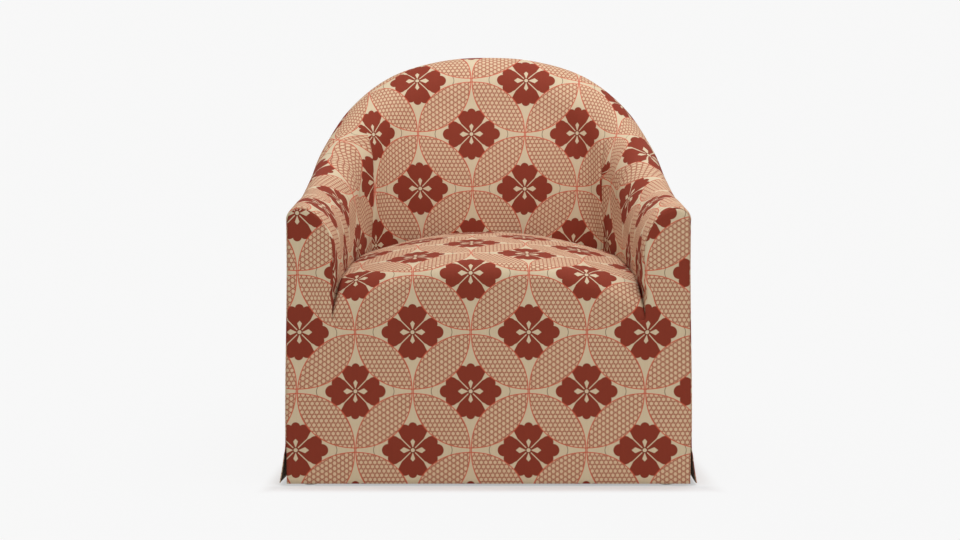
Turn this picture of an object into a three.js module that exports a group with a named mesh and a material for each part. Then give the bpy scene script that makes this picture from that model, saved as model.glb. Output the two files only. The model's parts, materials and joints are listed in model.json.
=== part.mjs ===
// A slipcovered tub chair, in millimetres, with +Z up and its front facing -Y.
// The arms and the arched back are one round shell. Every layer of that shell, from the outer
// cover to the timber rails inside it, is drawn from the same plan and the same crest line.
import * as THREE from 'three';
import { mergeVertices } from 'three/addons/utils/BufferGeometryUtils.js';

// Overall form
const frontWidth = 800;
const depth = 810;
const rearHalfWidth = 372;
const cornerRun = 375;
const armHeight = 556.6;
const crestHeight = 830;
const rearLean = 22;

// Shell section, at the arm fronts and at the middle of the back
const armThickness = 97;
const backThickness = 125;
const armOuterRoll = 28;
const backOuterRollWidth = 50;
const backOuterRollDrop = 45;
const innerRollDrop = 98;
const edgeRadius = 12;

// Inner walls at seat level
const wallFootHeight = 450;
const armRootThickness = 118;
const backRootThickness = 190;
const wellCornerRadius = 60;
const backPuff = 10;

// Seat
const seatSummit = 463;
const seatFrontTop = 446;
const seatSideDrop = 45;
const frontRollMiddle = 34;
const frontRollSideDepth = 140;
const frontRollSideDrop = 72;

// Cloth and clearances
const cloth = 3;
const seam = 0.4;
const hemHeight = 8;
const slitHeight = 92;
const skirtFlare = 11;
const slitOpening = 5;

// Upholstery
const foamSide = 38;
const backFoamSide = 44;
const foamTop = 18;
const foamFoot = 335;
const padThickness = 5;
const strapThickness = 1.6;
const linerThickness = 3;

// Frame
const railThickness = 28;
const railHeight = 110;
const railTop = 330;
const armRailDepth = 55;
const tackRailHeight = 40;
const tackRailThickness = 18;
const armPostThickness = 30;
const backPostWidth = 45;
const backPostDepth = 36;
const postClearance = 1.2;
const slatThickness = 22;
const blockLength = 70;
const blockHeight = 60;
const legTop = 52;
const legBottom = 38;
const glideRadius = 15;
const glideChamfer = 2;
const dustCoverThickness = 1.2;
const dustLap = 16;
const dustGap = 1;

// Springs
const wireRadius = 2;
const springWidth = 52;
const springArch = 9;
const springBends = 11;
const springSpacing = 118;
const clipWidth = 12;
const clipPlate = 1.6;
const clipHeight = 14;
const clipSlack = 1;
const weldTolerance = 0.001;

// Shares that give the crest line and the rows and stations of the shell
const crestShares = [
  [0, 0], [0.125, 0.030], [0.25, 0.057], [0.375, 0.133], [0.5, 0.241],
  [0.6, 0.403], [0.7, 0.641], [0.8, 0.830], [0.9, 0.945], [1, 1],
];
const outlinePower = 2.6;
const armRunShare = 0.5;
const middleShare = 1;
const wellSideShares = [[0, 0], [0.5, 0.7], [0.622, 1]];
const wellCornerShares = [0.622, 0.789];
const thickenShares = [0.3, 0.8];
const armStationShares = [0.09, 0.15, 0.22, 0.29, 0.36, 0.43, 0.5, 0.56, 0.622];
const cornerStationShares = [0.66];
const backStationShares = [0.789, 0.83, 0.87, 0.91, 0.95, 0.98];
const seamShare = 0.725;
const sideStrapShares = [0.87, 0.91];
const slatShare = 0.98;
const seatCrownPower = 2.1;
const seatCornerPower = 5;
const summitShare = 0.55;
const hookShare = 0.1;

const timber = { color: 0xb98f5e, roughness: 0.65, metalness: 0 };
const steel = { color: 0x8f9296, roughness: 0.35, metalness: 1 };
const foamLook = { color: 0xe9dfc0, roughness: 0.9, metalness: 0 };
const webbing = { color: 0x4b4642, roughness: 0.95, metalness: 0 };
const board = { color: 0xa8916c, roughness: 0.9, metalness: 0 };
const felt = { color: 0x8a8680, roughness: 1, metalness: 0 };
const blackCloth = { color: 0x26262a, roughness: 0.95, metalness: 0 };
const nylon = { color: 0xd8d6d0, roughness: 0.5, metalness: 0 };
const printed = { color: 0xbf8a70, roughness: 0.92, metalness: 0 };

const chair = new THREE.Group();
const front = -depth / 2;
const halfFront = frontWidth / 2;
const cornerStart = depth / 2 - cornerRun;
const wellRearHalfWidth = rearHalfWidth - armRootThickness;
const wellDepth = depth - backRootThickness;
const layer = cloth + seam;

function add(name, geometry, look) {
  const mesh = new THREE.Mesh(geometry, new THREE.MeshStandardMaterial(look));
  mesh.name = name;
  chair.add(mesh);
  return mesh;
}

// Reads a table of [place, value] rows with a smooth curve through them.
function follow(rows, place) {
  const last = rows.length - 1;
  let k = 0;
  while (k < last - 1 && place > rows[k + 1][0]) k += 1;
  const slope = (i) => {
    const a = rows[Math.max(i - 1, 0)];
    const b = rows[Math.min(i + 1, last)];
    return (b[1] - a[1]) / (b[0] - a[0]);
  };
  const span = rows[k + 1][0] - rows[k][0];
  const f = (place - rows[k][0]) / span;
  const rise = rows[k + 1][1] - rows[k][1];
  const startSlope = slope(k) * span;
  const endSlope = k + 1 === last ? 0 : slope(k + 1) * span;
  return rows[k][1] + f * startSlope
    + f * f * (3 * rise - 2 * startSlope - endSlope)
    + f * f * f * (startSlope + endSlope - 2 * rise);
}

function ease(from, to, place) {
  const f = Math.min(Math.max((place - from) / (to - from), 0), 1);
  return f * f * (3 - 2 * f);
}

function mix(a, b, f) {
  return a + (b - a) * f;
}

// The plan: place 0 is the arm front, 0.5 the start of the rear corner, 1 the middle of the back.
function outline(place) {
  if (place <= armRunShare) {
    const f = place / armRunShare;
    return {
      x: mix(halfFront, rearHalfWidth, f),
      y: mix(front, cornerStart, f),
      inX: -1,
      inY: 0,
    };
  }
  const turn = (place - armRunShare) / (middleShare - armRunShare) * Math.PI / 2;
  const c = Math.max(Math.cos(turn), 0);
  const s = Math.sin(turn);
  const power = 2 / outlinePower;
  const normalX = c ** (2 - power) / rearHalfWidth;
  const normalY = s ** (2 - power) / cornerRun;
  const size = Math.hypot(normalX, normalY);
  return {
    x: rearHalfWidth * c ** power,
    y: cornerStart + cornerRun * s ** power,
    inX: -normalX / size,
    inY: -normalY / size,
  };
}

function crest(place) {
  return mix(armHeight, crestHeight, follow(crestShares, place));
}

function thickness(place) {
  return mix(armThickness, backThickness, ease(armRunShare, 1, place));
}

function outerRoll(place) {
  const f = ease(thickenShares[0], thickenShares[1], place);
  return {
    width: mix(armOuterRoll, backOuterRollWidth, f),
    drop: mix(armOuterRoll, backOuterRollDrop, f),
  };
}

// How far the front edges of the shell are drawn in, so that they round over to the front face.
function edgeInset(y) {
  const short = Math.max(edgeRadius - (y - front), 0);
  return edgeRadius - Math.sqrt(edgeRadius ** 2 - short ** 2);
}

// A point of the outer wall, at a height and a distance in from the outer face of the cover.
function outerWall(place, height, inset) {
  const at = outline(place);
  const lean = rearLean * ease(armRunShare, 1, place) * (crest(place) - height) / crestHeight;
  const below = Math.max(hemHeight + slitHeight - height, 0) / slitHeight;
  const rounding = below > 0 ? 0 : edgeInset(at.y);
  const q = inset + lean + rounding - skirtFlare * below ** 1.5;
  return new THREE.Vector3(at.x + at.inX * q, at.y + at.inY * q, height);
}

// The foot of the inner wall, where it meets the seat: two straight sides drawing in to a round
// corner, and a straight back.
function wellEdge(place) {
  const rear = front + wellDepth;
  const cornerY = rear - wellCornerRadius;
  const [from, to] = wellCornerShares;
  if (place <= from) {
    const f = follow(wellSideShares, place);
    return { x: mix(halfFront - armThickness, wellRearHalfWidth, f), y: mix(front, cornerY, f) };
  }
  if (place <= to) {
    const turn = (place - from) / (to - from) * Math.PI / 2;
    return {
      x: wellRearHalfWidth - wellCornerRadius * (1 - Math.cos(turn)),
      y: cornerY + wellCornerRadius * Math.sin(turn),
    };
  }
  const f = (place - to) / (1 - to);
  return { x: mix(wellRearHalfWidth - wellCornerRadius, 0, f), y: rear };
}

// The inside face at one station, from the seam under the outer edge, over the crest and down the
// inner wall to its foot behind the seat.
const rollShares = [0, 1 / 3, 2 / 3, 1];
const innerRollShares = [0.25, 0.5, 0.75, 1];
const wallShares = [0.3, 0.65, 1];
const insideRowCount = rollShares.length + innerRollShares.length + wallShares.length + 1;
function insideSection(place, inset) {
  const at = outline(place);
  const roll = outerRoll(place);
  const wall = thickness(place);
  const top = crest(place);
  const points = [];
  const put = (q, z) => points.push(new THREE.Vector3(at.x + at.inX * q, at.y + at.inY * q, z));
  for (const share of rollShares) {
    const turn = share * Math.PI / 2;
    put(
      roll.width - (roll.width - inset) * Math.cos(turn),
      top - roll.drop + (roll.drop - inset) * Math.sin(turn),
    );
  }
  const flat = wall - inset - roll.width;
  for (const share of innerRollShares) {
    const turn = share * Math.PI / 2;
    put(roll.width + flat * Math.sin(turn), top - innerRollDrop + (innerRollDrop - inset) * Math.cos(turn));
  }
  const high = points[points.length - 1];
  const foot = wellEdge(place);
  const footX = foot.x + inset;
  const footZ = Math.min(wallFootHeight, high.z - layer);
  for (const share of wallShares) {
    const puff = backPuff * ease(armRunShare, 1, place) * 4 * share * (1 - share);
    const x = mix(high.x, footX, share) + at.inX * puff;
    const y = mix(high.y, foot.y, share) + at.inY * puff;
    points.push(new THREE.Vector3(x, y, mix(high.z, footZ, share)));
  }
  points.push(new THREE.Vector3(footX, foot.y, foamFoot));
  return points;
}

// A closed solid between two faces that share one list of triangles. The rims are joined.
function solidBetween(outer, inner, triangles) {
  const count = outer.length;
  const positions = new Float32Array(count * 6);
  [...outer, ...inner].forEach((p, i) => p.toArray(positions, i * 3));
  const rim = new Map();
  const faces = [];
  for (const [a, b, c] of triangles) {
    faces.push(a, b, c, a + count, c + count, b + count);
    for (const [from, to] of [[a, b], [b, c], [c, a]]) {
      if (!rim.delete(`${to} ${from}`)) rim.set(`${from} ${to}`, [from, to]);
    }
  }
  for (const [from, to] of rim.values()) {
    if (outer[from].z < outer[to].z) {
      faces.push(from, to + count, to, from, from + count, to + count);
    } else {
      faces.push(from, from + count, to, to, from + count, to + count);
    }
  }
  const geometry = new THREE.BufferGeometry();
  geometry.setAttribute('position', new THREE.BufferAttribute(positions, 3));
  geometry.setIndex(faces);
  return facingOut(geometry);
}

// Turns a closed geometry so that its faces point out.
function facingOut(geometry) {
  const p = geometry.getAttribute('position');
  const index = geometry.index.array;
  const a = new THREE.Vector3();
  const b = new THREE.Vector3();
  const c = new THREE.Vector3();
  let volume = 0;
  for (let i = 0; i < index.length; i += 3) {
    a.fromBufferAttribute(p, index[i]);
    b.fromBufferAttribute(p, index[i + 1]);
    c.fromBufferAttribute(p, index[i + 2]);
    volume += a.dot(b.cross(c));
  }
  if (volume < 0) {
    for (let i = 0; i < index.length; i += 3) {
      [index[i + 1], index[i + 2]] = [index[i + 2], index[i + 1]];
    }
  }
  geometry.computeVertexNormals();
  return geometry;
}

// The triangles of a grid whose points are listed row by row. The left half mirrors the right.
function gridTriangles(points, columns) {
  const triangles = [];
  for (let start = 0; start < points.length - columns; start += columns) {
    for (let a = start; a < start + columns - 1; a += 1) {
      const c = a + columns;
      if (points[a].x + points[c].x > 0) triangles.push([a, a + 1, c + 1], [a, c + 1, c]);
      else triangles.push([a, a + 1, c], [a + 1, c + 1, c]);
    }
  }
  return triangles;
}

// The way in at each point of a grid, kept in the upright plane of its station and lengthened so
// that a layer has its full depth where the crest climbs.
function waysIn(grid, places) {
  return grid.map((row, i) => {
    const at = outline(folded(places[i]));
    const side = places[i] > middleShare ? -1 : 1;
    const tangent = new THREE.Vector3(-at.inY * side, at.inX, 0);
    return row.map((point, j) => {
      const along = new THREE.Vector3()
        .subVectors(grid[Math.min(i + 1, grid.length - 1)][j], grid[Math.max(i - 1, 0)][j]);
      const down = new THREE.Vector3()
        .subVectors(row[Math.min(j + 1, row.length - 1)], row[Math.max(j - 1, 0)]);
      const inward = down.cross(along).normalize();
      inward.addScaledVector(tangent, -inward.dot(tangent));
      return inward.divideScalar(inward.lengthSq());
    });
  });
}

// Plan places from one arm front to the other. A place beyond 1 lies on the far side.
const firstShare = armRunShare * layer / (cornerStart - front);
const edgeShare = armRunShare * edgeRadius / (cornerStart - front);
const postShare = armRunShare * (layer + armPostThickness) / (cornerStart - front);
const sideShares = [firstShare, (firstShare + edgeShare) / 2, edgeShare, postShare, ...armStationShares];
const postTurn = backPostWidth / 2 / (rearHalfWidth + cornerRun);
const rearShares = [
  ...cornerStationShares, seamShare - postTurn, seamShare, seamShare + postTurn,
  ...backStationShares,
];
const halfShares = [...sideShares, ...rearShares];
const farShares = halfShares.map((share) => 2 * middleShare - share).reverse();
const placeList = [...halfShares, middleShare, ...farShares];

function mirrored(point, place) {
  return place > middleShare ? new THREE.Vector3(-point.x, point.y, point.z) : point;
}

function folded(place) {
  return place > middleShare ? 2 * middleShare - place : place;
}

function insideFaces(insetAt) {
  return placeList.map((place) => {
    const inset = insetAt(outline(folded(place)).y);
    return insideSection(folded(place), inset).map((point) => mirrored(point, place));
  });
}
const insideGrid = insideFaces(edgeInset);
const insideInward = waysIn(insideFaces(() => 0), placeList);

function insidePoint(i, j, distance) {
  const point = insideGrid[i][j].clone().addScaledVector(insideInward[i][j], distance);
  if (j === 0 || j === insideRowCount - 1) point.setZ(insideGrid[i][j].z);
  return point;
}

// A layer of the shell that follows the inside face, between two depths below it.
function insideLayer(name, fromStation, toStation, outerDepth, innerDepth, look, trim = 0) {
  const outer = [];
  const inner = [];
  for (let i = fromStation; i <= toStation; i += 1) {
    for (let j = 0; j < insideRowCount; j += 1) {
      outer.push(insidePoint(i, j, outerDepth(placeList[i], j)));
      inner.push(insidePoint(i, j, innerDepth(placeList[i], j)));
    }
  }
  const rows = toStation - fromStation + 1;
  if (trim) {
    for (const list of [outer, inner]) trimEnds(list, rows, insideRowCount, () => trim);
  }
  return add(name, solidBetween(outer, inner, gridTriangles(outer, insideRowCount)), look);
}

// Draws the two end stations of a grid in, so that neighbours keep a seam's gap.
function trimEnds(points, rows, columns, length) {
  for (const [end, next] of [[0, 1], [rows - 1, rows - 2]]) {
    for (let j = 0; j < columns; j += 1) {
      const point = points[end * columns + j];
      const along = new THREE.Vector3().subVectors(points[next * columns + j], point);
      point.addScaledVector(along.normalize(), length(point.z));
    }
  }
}

const lastStation = placeList.length - 1;
const seamStation = placeList.indexOf(seamShare);

insideLayer('inside_cover', 0, lastStation, () => 0, () => cloth, printed);

// Foam is thin over the crest and thick down the inner wall.
const foamRowShares = [0, 0, 0.1, 0.25, 0.55, 0.8, 0.95, 1, 1, 1, 1, 1];
function foamDepth(place, row) {
  const side = mix(foamSide, backFoamSide, ease(armRunShare, 1, folded(place)));
  return layer + mix(foamTop, side, foamRowShares[row]);
}
const foamNear = () => layer;
insideLayer('arm_foam_right', 0, seamStation, foamNear, foamDepth, foamLook, seam);
insideLayer('back_foam', seamStation, lastStation - seamStation, foamNear, foamDepth, foamLook, seam);
insideLayer('arm_foam_left', lastStation - seamStation, lastStation, foamNear, foamDepth, foamLook, seam);

// A layer of the outer wall over a run of plan places, between two depths below its face.
function outerLayer(name, places, heights, fromInset, toInset, look, trim = () => seam) {
  const outer = [];
  const inner = [];
  for (const place of places) {
    for (const height of heights(folded(place))) {
      outer.push(mirrored(outerWall(folded(place), height, fromInset), place));
      inner.push(mirrored(outerWall(folded(place), height, toInset), place));
    }
  }
  const columns = heights(folded(places[0])).length;
  for (const list of [outer, inner]) trimEnds(list, places.length, columns, trim);
  return add(name, solidBetween(outer, inner, gridTriangles(outer, columns)), look);
}

const hemShares = [0, 0.3, 0.6, 1];
function coverHeights(place) {
  const top = crest(place) - outerRoll(place).drop - seam;
  const slitTop = hemHeight + slitHeight;
  const flare = hemShares.map((share) => hemHeight + slitHeight * share);
  return [...flare, mix(slitTop, top, 0.04), mix(slitTop, top, 0.5), top];
}
const linerTopDrop = cloth;
function linerHeights(place) {
  const top = crest(place) - outerRoll(place).drop - linerTopDrop;
  const bottom = railTop - railHeight;
  return [bottom, mix(bottom, top, 0.5), top];
}
const seamBack = placeList.slice(seamStation, lastStation - seamStation + 1);
const seamRight = placeList.slice(0, seamStation + 1);
const seamLeft = placeList.slice(lastStation - seamStation);
const frameInset = layer + linerThickness + seam;

// The skirt hangs open at its four corners, wider towards the hem.
function slit(height) {
  return seam + slitOpening * Math.max(hemHeight + slitHeight - height, 0) / slitHeight;
}
outerLayer('outer_arm_cover_right', seamRight, coverHeights, 0, cloth, printed, slit);
outerLayer('outer_arm_cover_left', seamLeft, coverHeights, 0, cloth, printed, slit);
outerLayer('outer_back_cover', seamBack, coverHeights, 0, cloth, printed, slit);
const linerTo = layer + linerThickness;
outerLayer('arm_liner_right', seamRight, linerHeights, layer, linerTo, board);
outerLayer('arm_liner_left', seamLeft, linerHeights, layer, linerTo, board);
outerLayer('back_liner', seamBack, linerHeights, layer, linerTo, board);

// The seat and the front: the crowned seat rolls over into the flat front panel, which runs on
// over the arm fronts. Its place across is -1 to 1, and along 0 at the front to 1 at the back.
const seatLimit = wellDepth - seam;
const seatRows = [0.12, 0.3, 0.5, 0.7, 0.86, 1];
const rollRows = [0, 0.25, 0.5, 0.75, 1];
const seatColumns = [0, 0.25, 0.48, 0.66, 0.8, 0.9, 0.96, 1];
const acrossShares = [...seatColumns.slice(1).map((share) => -share).reverse(), ...seatColumns];

function seatHalfWidth(y) {
  const straight = wellDepth - wellCornerRadius;
  const f = (y - front) / straight;
  return mix(halfFront - armThickness, wellRearHalfWidth, f) - seam;
}

function seatRear(across) {
  const half = seatHalfWidth(front + seatLimit);
  const past = Math.max(Math.abs(across) * half - half + wellCornerRadius, 0);
  const short = wellCornerRadius - Math.sqrt(Math.max(wellCornerRadius ** 2 - past ** 2, 0));
  return front + seatLimit - short;
}

function seatTop(across, y) {
  const summit = front + wellDepth * summitShare;
  const run = summit - front - frontRollMiddle;
  const along = (seatSummit - seatFrontTop) * ((y - summit) / run) ** 2;
  return seatSummit - along - seatSideDrop * Math.abs(across) ** seatCrownPower;
}

// The points of one column of the seat, with the depth below its face.
function seatColumn(across, below) {
  const side = Math.abs(across) ** seatCornerPower;
  const run = mix(frontRollMiddle, frontRollSideDepth, side);
  const drop = mix(frontRollMiddle, frontRollSideDrop, side);
  const rollEnd = front + run;
  const top = seatTop(across, rollEnd);
  const inset = below * Math.abs(across) ** 40;
  const points = [];
  for (const share of rollRows) {
    const turn = share * Math.PI / 2;
    const y = rollEnd - (run - below) * Math.cos(turn);
    const x = across * (seatHalfWidth(y) - inset);
    points.push(new THREE.Vector3(x, y, top - drop + (drop - below) * Math.sin(turn)));
  }
  for (const share of seatRows) {
    const y = mix(rollEnd, seatRear(across) - inset, share);
    const x = across * (seatHalfWidth(y) - inset);
    points.push(new THREE.Vector3(x, y, seatTop(across, y) - below));
  }
  return points;
}

// The outline of an arm's front face, from its outer foot over the top to the seat.
function armFace() {
  const place = armRunShare * cloth / (cornerStart - front);
  const section = insideSection(place, edgeInset(front + cloth));
  const outerEdge = section[0].x;
  return { outerEdge, section: section.slice(0, insideRowCount - 1) };
}

function frontAndSeat(fromDepth, toDepth) {
  const columns = rollRows.length + seatRows.length;
  const faces = [fromDepth, toDepth].map((below) => {
    const seat = acrossShares.flatMap((across) => seatColumn(across, below));
    const { outerEdge, section } = armFace();
    const flat = (x, z) => new THREE.Vector3(x, front + below, z);
    const right = [
      flat(seat[seat.length - columns].x, hemHeight),
      flat(outerEdge, hemHeight),
      flat(outerEdge, section[0].z),
      ...section.slice(1).map((point) => flat(point.x, point.z)),
    ];
    const left = right.map((point) => flat(-point.x, point.z)).reverse();
    return { seat, right, left };
  });
  const { seat, right, left } = faces[0];
  const points = [...seat, ...right, ...left];
  const seatEdge = acrossShares.map((share, i) => i * columns);
  const rightIndex = right.map((point, i) => seat.length + i);
  const leftIndex = left.map((point, i) => seat.length + right.length + i);
  const loop = [...leftIndex.slice(0), ...rightIndex, ...seatEdge.slice().reverse()];
  const contour = loop.map((i) => new THREE.Vector2(points[i].x, points[i].z));
  const flatFaces = THREE.ShapeUtils.triangulateShape(contour, [])
    .map(([a, b, c]) => [loop[a], loop[b], loop[c]]);
  const curved = gridTriangles(seat, columns);
  const sameWay = matchedWinding(points, flatFaces, curved);
  const inner = [...faces[1].seat, ...faces[1].right, ...faces[1].left];
  return solidBetween(points, inner, [...sameWay, ...curved]);
}

// Turns flat triangles so that their shared edges run against those of the curved ones.
function matchedWinding(points, flatFaces, curved) {
  const edges = new Set(curved.flatMap(([a, b, c]) => [`${a} ${b}`, `${b} ${c}`, `${c} ${a}`]));
  const clash = flatFaces.some(
    ([a, b, c]) => edges.has(`${a} ${b}`) || edges.has(`${b} ${c}`) || edges.has(`${c} ${a}`),
  );
  return clash ? flatFaces.map(([a, b, c]) => [a, c, b]) : flatFaces;
}
add('seat_and_front_cover', frontAndSeat(0, cloth), printed);

// The seat foam fills the seat down to the pad.
const padTop = railTop + seam + padThickness;
const foamBottom = padTop + seam;
function seatFoam() {
  const columns = rollRows.length + seatRows.length;
  const upper = acrossShares.flatMap((across) => seatColumn(across, layer));
  const lower = acrossShares.flatMap((across) => {
    const column = seatColumn(across, layer);
    const rear = column[columns - 1];
    const first = front + layer;
    return column.map((point, i) => {
      const y = mix(first, rear.y, i / (columns - 1));
      const x = across * (seatHalfWidth(y) - layer * Math.abs(across) ** 40);
      return new THREE.Vector3(x, y, foamBottom);
    });
  });
  return solidBetween(upper, lower, gridTriangles(upper, columns));
}
add('seat_foam', seatFoam(), foamLook);

// A flat piece cut to a plan outline, standing on a height.
function plate(points, bottom, height) {
  const shape = new THREE.Shape(points.map(([x, y]) => new THREE.Vector2(x, y)));
  const geometry = new THREE.ExtrudeGeometry(shape, { depth: height, bevelEnabled: false });
  geometry.translate(0, 0, bottom);
  return welded(geometry);
}

function welded(geometry) {
  geometry.deleteAttribute('normal');
  geometry.deleteAttribute('uv');
  const merged = mergeVertices(geometry, weldTolerance);
  return facingOut(merged);
}

// Felt pad over the springs, on top of the rails.
function wellPlan(clearance) {
  const right = halfShares.concat(1)
    .filter((share) => share >= wellSideShares[1][0] || share === firstShare)
    .map((share) => {
      const edge = wellEdge(share);
      return [edge.x, edge.y];
    });
  const centreY = front + wellDepth / 2;
  const shrink = (x, y) => [
    x - Math.sign(x) * clearance,
    y + (y > centreY ? -clearance : 0),
  ];
  const rightIn = right.map(([x, y]) => shrink(x, y));
  rightIn[0][1] = front + layer;
  const leftIn = rightIn.slice(0, -1).map(([x, y]) => [-x, y]).reverse();
  return [...rightIn, ...leftIn];
}
add('spring_pad', plate(wellPlan(layer), railTop + seam, padThickness), felt);

// Seat rails. The rear rail is one bent piece between the ends of the side rails.
const railBottom = railTop - railHeight;
const railEndShare = 0.5;
function bandPiece(name, places, fromInset, toInset, bottom, top, look) {
  const heights = () => [bottom, top];
  return outerLayer(name, places, heights, fromInset, toInset, look);
}
const frontRailBack = front + layer + railThickness;
const sideRailStart = armRunShare * (layer + railThickness + seam) / (cornerStart - front);
const sidePlaces = [sideRailStart, railEndShare];
const rearPlaces = placeList.filter((place) => folded(place) >= railEndShare);
const frameOut = frameInset + railThickness;
bandPiece('side_rail_right', sidePlaces, frameInset, frameOut, railBottom, railTop, timber);
const farSidePlaces = sidePlaces.map((place) => 2 * middleShare - place).reverse();
bandPiece('side_rail_left', farSidePlaces, frameInset, frameOut, railBottom, railTop, timber);
bandPiece('rear_rail', rearPlaces, frameInset, frameOut, railBottom, railTop, timber);
const frontRailHalf = outerWall(sideRailStart, railTop, frameInset).x - edgeRadius;
function boxBetween(x0, x1, y0, y1, z0, z1) {
  const geometry = new THREE.BoxGeometry(x1 - x0, y1 - y0, z1 - z0);
  geometry.translate((x0 + x1) / 2, (y0 + y1) / 2, (z0 + z1) / 2);
  return welded(geometry);
}
add('front_rail', boxBetween(-frontRailHalf, frontRailHalf, front + layer, frontRailBack,
  railBottom, railTop), timber);

// Glued blocks that brace the rail joints.
for (const [side, sign] of [['right', 1], ['left', -1]]) {
  const inner = (y) => {
    const f = (y - front) / (cornerStart - front);
    return sign * (mix(halfFront, rearHalfWidth, f) - frameOut - seam);
  };
  const y0 = frontRailBack + seam;
  const triangle = [
    [inner(y0), y0], [inner(y0 + blockLength), y0 + blockLength],
    [inner(y0) - sign * blockLength, y0],
  ];
  const blockTop = railTop - railThickness;
  add(`front_block_${side}`, plate(triangle, blockTop - blockHeight, blockHeight), timber);
  const joint = [cornerStart - blockLength, cornerStart, cornerStart + blockLength / 2];
  const outerSide = joint.map((y) => [inner(y), y]);
  outerSide[2][0] = sign * (rearHalfWidth - frameOut - legTop / 4);
  const back = outerSide.map(([x, y]) => [x - sign * railThickness, y]).reverse();
  add(`rear_block_${side}`, plate([...outerSide, ...back], blockTop - blockHeight, blockHeight),
    timber);
}

// Legs and glides, hidden by the skirt.
const legLength = railBottom - seam - hemHeight;
function leg() {
  const turned = Math.PI / 4;
  const wide = legTop / Math.SQRT2;
  const narrow = legBottom / Math.SQRT2;
  const geometry = new THREE.CylinderGeometry(wide, narrow, legLength, 4, 1);
  geometry.rotateY(turned);
  geometry.rotateX(Math.PI / 2);
  geometry.translate(0, 0, legLength / 2);
  return welded(geometry);
}
function glide() {
  const profile = [
    new THREE.Vector2(0, 0),
    new THREE.Vector2(glideRadius - glideChamfer, 0),
    new THREE.Vector2(glideRadius, glideChamfer),
    new THREE.Vector2(glideRadius, hemHeight - seam),
    new THREE.Vector2(0, hemHeight - seam),
  ];
  const geometry = new THREE.LatheGeometry(profile, 16);
  geometry.rotateX(Math.PI / 2);
  return welded(geometry);
}
const legShare = 0.69;
const rearLeg = outline(legShare);
const legIn = frameInset + legTop / 2;
const frontLegX = halfFront - legIn - edgeRadius;
const frontLegY = front + layer + legTop / 2;
const rearLegX = rearLeg.x + rearLeg.inX * legIn;
const rearLegY = rearLeg.y + rearLeg.inY * (legIn + rearLean / 2);
const legPlaces = [
  ['front_right', frontLegX, frontLegY, 0],
  ['front_left', -frontLegX, frontLegY, 0],
  ['rear_right', rearLegX, rearLegY, Math.atan2(-rearLeg.inY, -rearLeg.inX)],
  ['rear_left', -rearLegX, rearLegY, -Math.atan2(-rearLeg.inY, -rearLeg.inX)],
];
for (const [name, x, y, turn] of legPlaces) {
  const legMesh = add(`leg_${name}`, leg(), timber);
  legMesh.position.set(x, y, hemHeight);
  legMesh.rotation.z = turn;
  const foot = add(`glide_${name}`, glide(), nylon);
  foot.position.set(x, y, 0);
}

// Dust cover, lapped under the rails and cut back round the legs.
const dustInset = frameOut - dustLap;
const legRoom = legTop / 2 + dustGap;
const frontLegIn = frontLegX - legRoom;
const frontLegBack = frontLegY + legRoom;
const besideLeg = (along, inward) => {
  const x = rearLegX + rearLeg.inY * along + rearLeg.inX * inward;
  const y = rearLegY - rearLeg.inX * along + rearLeg.inY * inward;
  return [x, y];
};
const dustEdge = (place) => {
  const point = outerWall(place, railBottom, dustInset);
  return [point.x, point.y];
};
const legOut = legIn - dustInset;
const sideStart = armRunShare * (frontLegBack - front) / (cornerStart - front);
const notch = [
  besideLeg(-legRoom, -legOut),
  besideLeg(-legRoom, legRoom),
  besideLeg(legRoom, legRoom),
  besideLeg(legRoom, -legOut),
];
const [notchStart] = notch;
const notchEnd = notch[notch.length - 1];
const dustCurve = halfShares.filter((share) => share >= railEndShare).map(dustEdge);
const dustRight = [
  [frontLegIn, front + layer + dustLap],
  [frontLegIn, frontLegBack],
  dustEdge(sideStart),
  ...dustCurve.filter(([, y]) => y < notchStart[1] - dustGap),
  ...notch,
  ...dustCurve.filter(([x]) => x < notchEnd[0] - dustGap),
];
const dustLeft = dustRight.map(([x, y]) => [-x, y]).reverse();
add('dust_cover', plate([...dustRight, dustEdge(1), ...dustLeft],
  railBottom - seam - dustCoverThickness, dustCoverThickness), blackCloth);

// Rails that carry the crest. Their tops follow the underside of the foam.
const railRows = [0, 1, 3, 4, 5, 6];
const postRows = [0, 4, 5, 6];
const strapRoom = strapThickness + seam + seam;
function railFoot(place) {
  return crest(place) - outerRoll(place).drop - linerTopDrop - armRailDepth;
}
function crestRailSection(i, rows, footHeight) {
  const place = folded(placeList[i]);
  const under = rows.map((j) => insidePoint(i, j, foamDepth(place, j) + strapRoom));
  const shoulder = railFoot(place) + armRailDepth;
  const at = outline(place);
  const lean = rearLean * ease(armRunShare, 1, place) * (crest(place) - footHeight) / crestHeight;
  const outerQ = frameInset + edgeInset(at.y) + lean;
  const outerPoint = (z) => mirrored(
    new THREE.Vector3(at.x + at.inX * outerQ, at.y + at.inY * outerQ, z),
    placeList[i],
  );
  under[0].setZ(shoulder);
  const last = under[under.length - 1];
  return [
    outerPoint(footHeight),
    outerPoint(shoulder),
    ...under,
    new THREE.Vector3(last.x, last.y, footHeight),
  ];
}

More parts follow.
